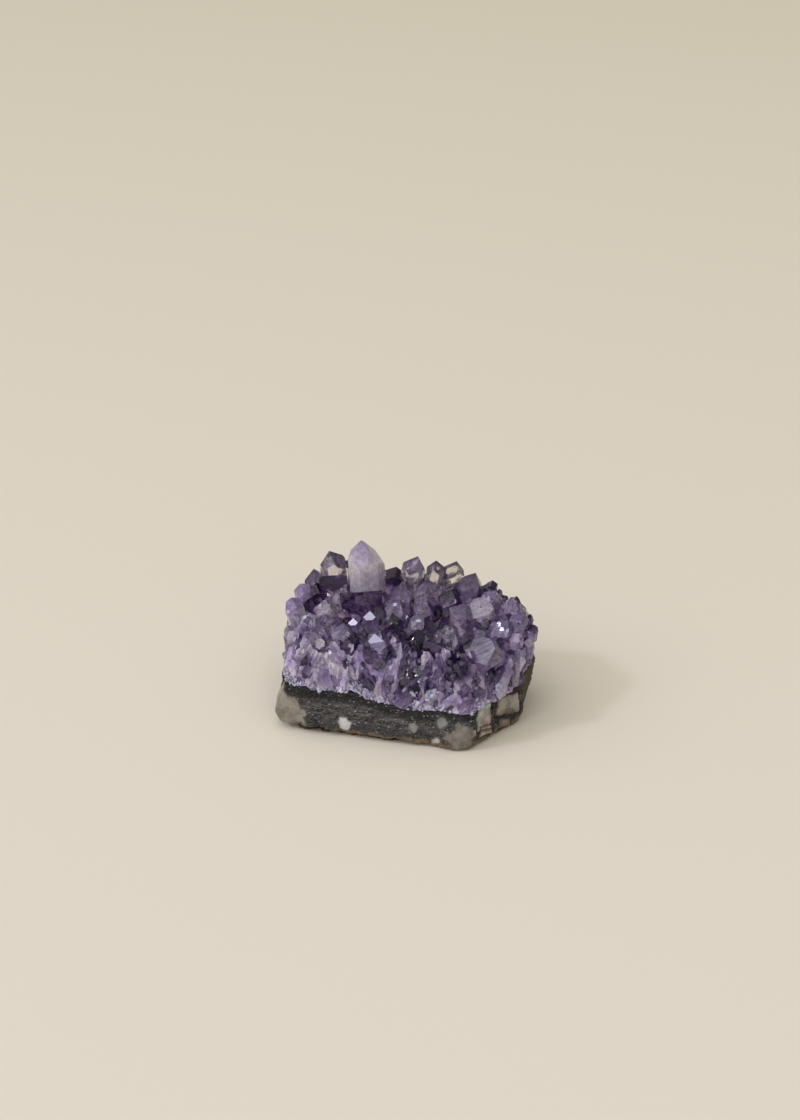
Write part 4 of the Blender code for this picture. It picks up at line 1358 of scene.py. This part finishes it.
def basalt_finish(obj):
    """Dark lava with an ochre rim, chalcedony in its own colours, and a near-black foot whose colour
    is painted shade for the gap under the lifted front edge.
    """
    finish = Finish("basalt")
    place = finish.place()
    aside, height = finish.part(place, 0), finish.part(place, 2)
    grain = finish.cloud(finish.place(1.5, FLAT), detail=4.0, rough=0.7)
    wobble = finish.cloud(finish.place(0.5), detail=3.0)
    waxy, crack, brown = [finish.attribute(name) for name in STONE_NUMBERS]
    colour = lava_colour(finish, grain, aside, height)
    rim = (1.0 - (height + 2.6 * wobble).step(3.0, 4.0)) * 0.85
    colour = finish.blend(rim, colour, tone(140, 124, 100))
    veins = 0.8 * (0.6 * grain + 0.7 * wobble).step(0.52, 0.80)
    for middle, reach_out, fade_out, veined, shade in STONES:
        away = finish.vector("DISTANCE", {0: place, 1: Vector(middle) - MIDDLE}, out="Value")
        near = 1.0 - away.step(reach_out, fade_out)
        stone = finish.blend(veined * veins, tone(*shade), tone(*[0.6 * c for c in shade]))
        colour = finish.blend(near * waxy, colour, stone)
    colour = finish.blend(0.8 * crack, colour, tone(34, 28, 26))
    weathered = (aside + 3.0 * wobble).step(30.0, 32.0) * height.step(5.0, 9.0)
    colour = finish.blend(0.6 * weathered, colour, tone(118, 106, 84))
    # Painted shade: the foot under the lifted front edge takes the dark colour of the shadowed gap.
    colour = finish.blend(brown, colour, PAINTED_GAP_SHADE_TONE)
    crumb = finish.cloud(finish.place(3.5), detail=3.0, rough=0.7)
    normal = finish.bump((grain + crumb) * (1.0 - 0.8 * waxy), 0.5)
    shader = finish.add("BsdfPrincipled", {}, {
        "Base Color": colour, "Roughness": 0.8 - 0.45 * waxy, "Normal": normal,
        "Specular IOR Level": 0.25,
    })
    finish.wear(obj, shader)


basalt_finish(basalt)

# %% [markdown]
# ## Joining the model
# Each new piece stands for its solid and rides on the stone's one body.
# %% Ride and replace
for piece, node, slot in [
    (amethyst, "amethyst_crystals", "amethyst"), (basalt, "basalt_matrix", "basalt"),
]:
    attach(piece, "root")
    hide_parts(node)
    print(piece.name, "stands for", node)

# %% [markdown]
# ## Table, sky and lamps
# The stone lies on a beige table that is wide enough to fill the picture. It is a little darker
# towards the back: painted shade for the light that falls off across the table.
# %% Table
TABLE_SIDE = 24.0
# The far colour is the near one with painted shade, for the light that falls off towards the back.
TABLE_NEAR, TABLE_FAR = (0.755, 0.705, 0.625), (0.640, 0.592, 0.467)
bpy.ops.object.select_all(action="DESELECT")
bpy.ops.mesh.primitive_plane_add(size=TABLE_SIDE)
table = bpy.context.object
table.name = "table"


def table_finish(obj):
    """Beige, with painted shade that makes it a little darker towards the back."""
    finish = Finish("table")
    depth = finish.part(finish.add("TexCoord", {}, {}, out="Object"), 1)
    colour = finish.blend(depth.step(-0.3, 1.1), TABLE_NEAR, TABLE_FAR)
    shader = finish.add("BsdfPrincipled", {}, {"Base Color": colour, "Roughness": 0.9})
    finish.wear(obj, shader)


table_finish(table)

# %% [markdown]
# A pale sky on all sides fills the shadows. It is brightest towards one place high up, and fades away
# from it by a colour ramp on the angle between that place and each ray.
# %% Sky
SKY_MIDDLE = (-0.30, -0.42, 0.855)  # where the sky is brightest
SKY_STRENGTH = 1.33
SKY_TONES = [
    (0.0, (0.20, 0.186, 0.165)), (0.40, (0.34, 0.323, 0.292)), (0.72, (0.68, 0.655, 0.605)),
    (1.0, (1.0, 0.97, 0.91)),
]
world = bpy.data.worlds.new("sky")
bpy.context.scene.world = world
world.use_nodes = True
tree = world.node_tree
look = tree.nodes.new("ShaderNodeTexCoord")
up = tree.nodes.new("ShaderNodeVectorMath")
up.operation = "DOT_PRODUCT"
up.inputs[1].default_value = SKY_MIDDLE
tree.links.new(look.outputs["Generated"], up.inputs[0])
ramp = tree.nodes.new("ShaderNodeValToRGB")
set_stops(ramp.color_ramp, SKY_TONES)
tree.links.new(up.outputs["Value"], ramp.inputs["Fac"])
tree.links.new(ramp.outputs["Color"], tree.nodes["Background"].inputs["Color"])
tree.nodes["Background"].inputs["Strength"].default_value = SKY_STRENGTH
bpy.context.scene.view_settings.view_transform = "Standard"
print(len(ramp.color_ramp.elements), "tones in the sky")

# %% [markdown]
# One broad lamp from the front left draws the soft shadow and the glints, and two windows add a sheen
# to the faces that look their way. In a room every facet finds some small bright thing to mirror, so a
# few faint suns on all sides stand for those: they give white sparks, and hardly any light.
# %% Lamps
LAMP_POWER, LAMP_ANGLE, LAMP_COLOUR = 0.39, math.radians(5.5), (0.95, 0.97, 1.20)
SPARK_POWER, SPARK_ANGLE = 0.045, math.radians(4.0)
SPARKS = [(-0.75, -0.55, 0.45), (-0.35, -0.75, 0.60), (-0.20, -0.35, 0.92), (0.35, -0.55, 0.75),
          (-0.85, 0.10, 0.50), (0.10, -0.85, 0.40)]
WINDOWS = {  # place, side and power
    "window": ((-0.62, -0.42, 0.60), 0.34, 0.75), "window_right": ((0.45, -0.75, 0.45), 0.30, 0.35),
}


def hang_light(name, kind, rotation, **settings):
    """A light with its settings, turned to shine one way."""
    data = bpy.data.lights.new(name, kind)
    for setting, value in settings.items():
        setattr(data, setting, value)
    light = bpy.data.objects.new(name, data)
    light.rotation_euler = rotation
    bpy.context.scene.collection.objects.link(light)
    return light


def shining_from(place):
    """The rotation of a light that shines from a place to the stone."""
    return Vector(place).to_track_quat("Z", "Y").to_euler()


hang_light("lamp", "SUN", (math.radians(90.0) - LAMP_HEIGHT, 0.0, LAMP_TURN - math.radians(90.0)),
           energy=LAMP_POWER, angle=LAMP_ANGLE, color=LAMP_COLOUR)
for number, place in enumerate(SPARKS):
    hang_light(f"spark_{number}", "SUN", shining_from(place), energy=SPARK_POWER, angle=SPARK_ANGLE)
for name, (place, side, power) in WINDOWS.items():
    window = hang_light(name, "AREA", shining_from(place), energy=power, size=side)
    window.location = place
print(len(bpy.data.lights), "lights")
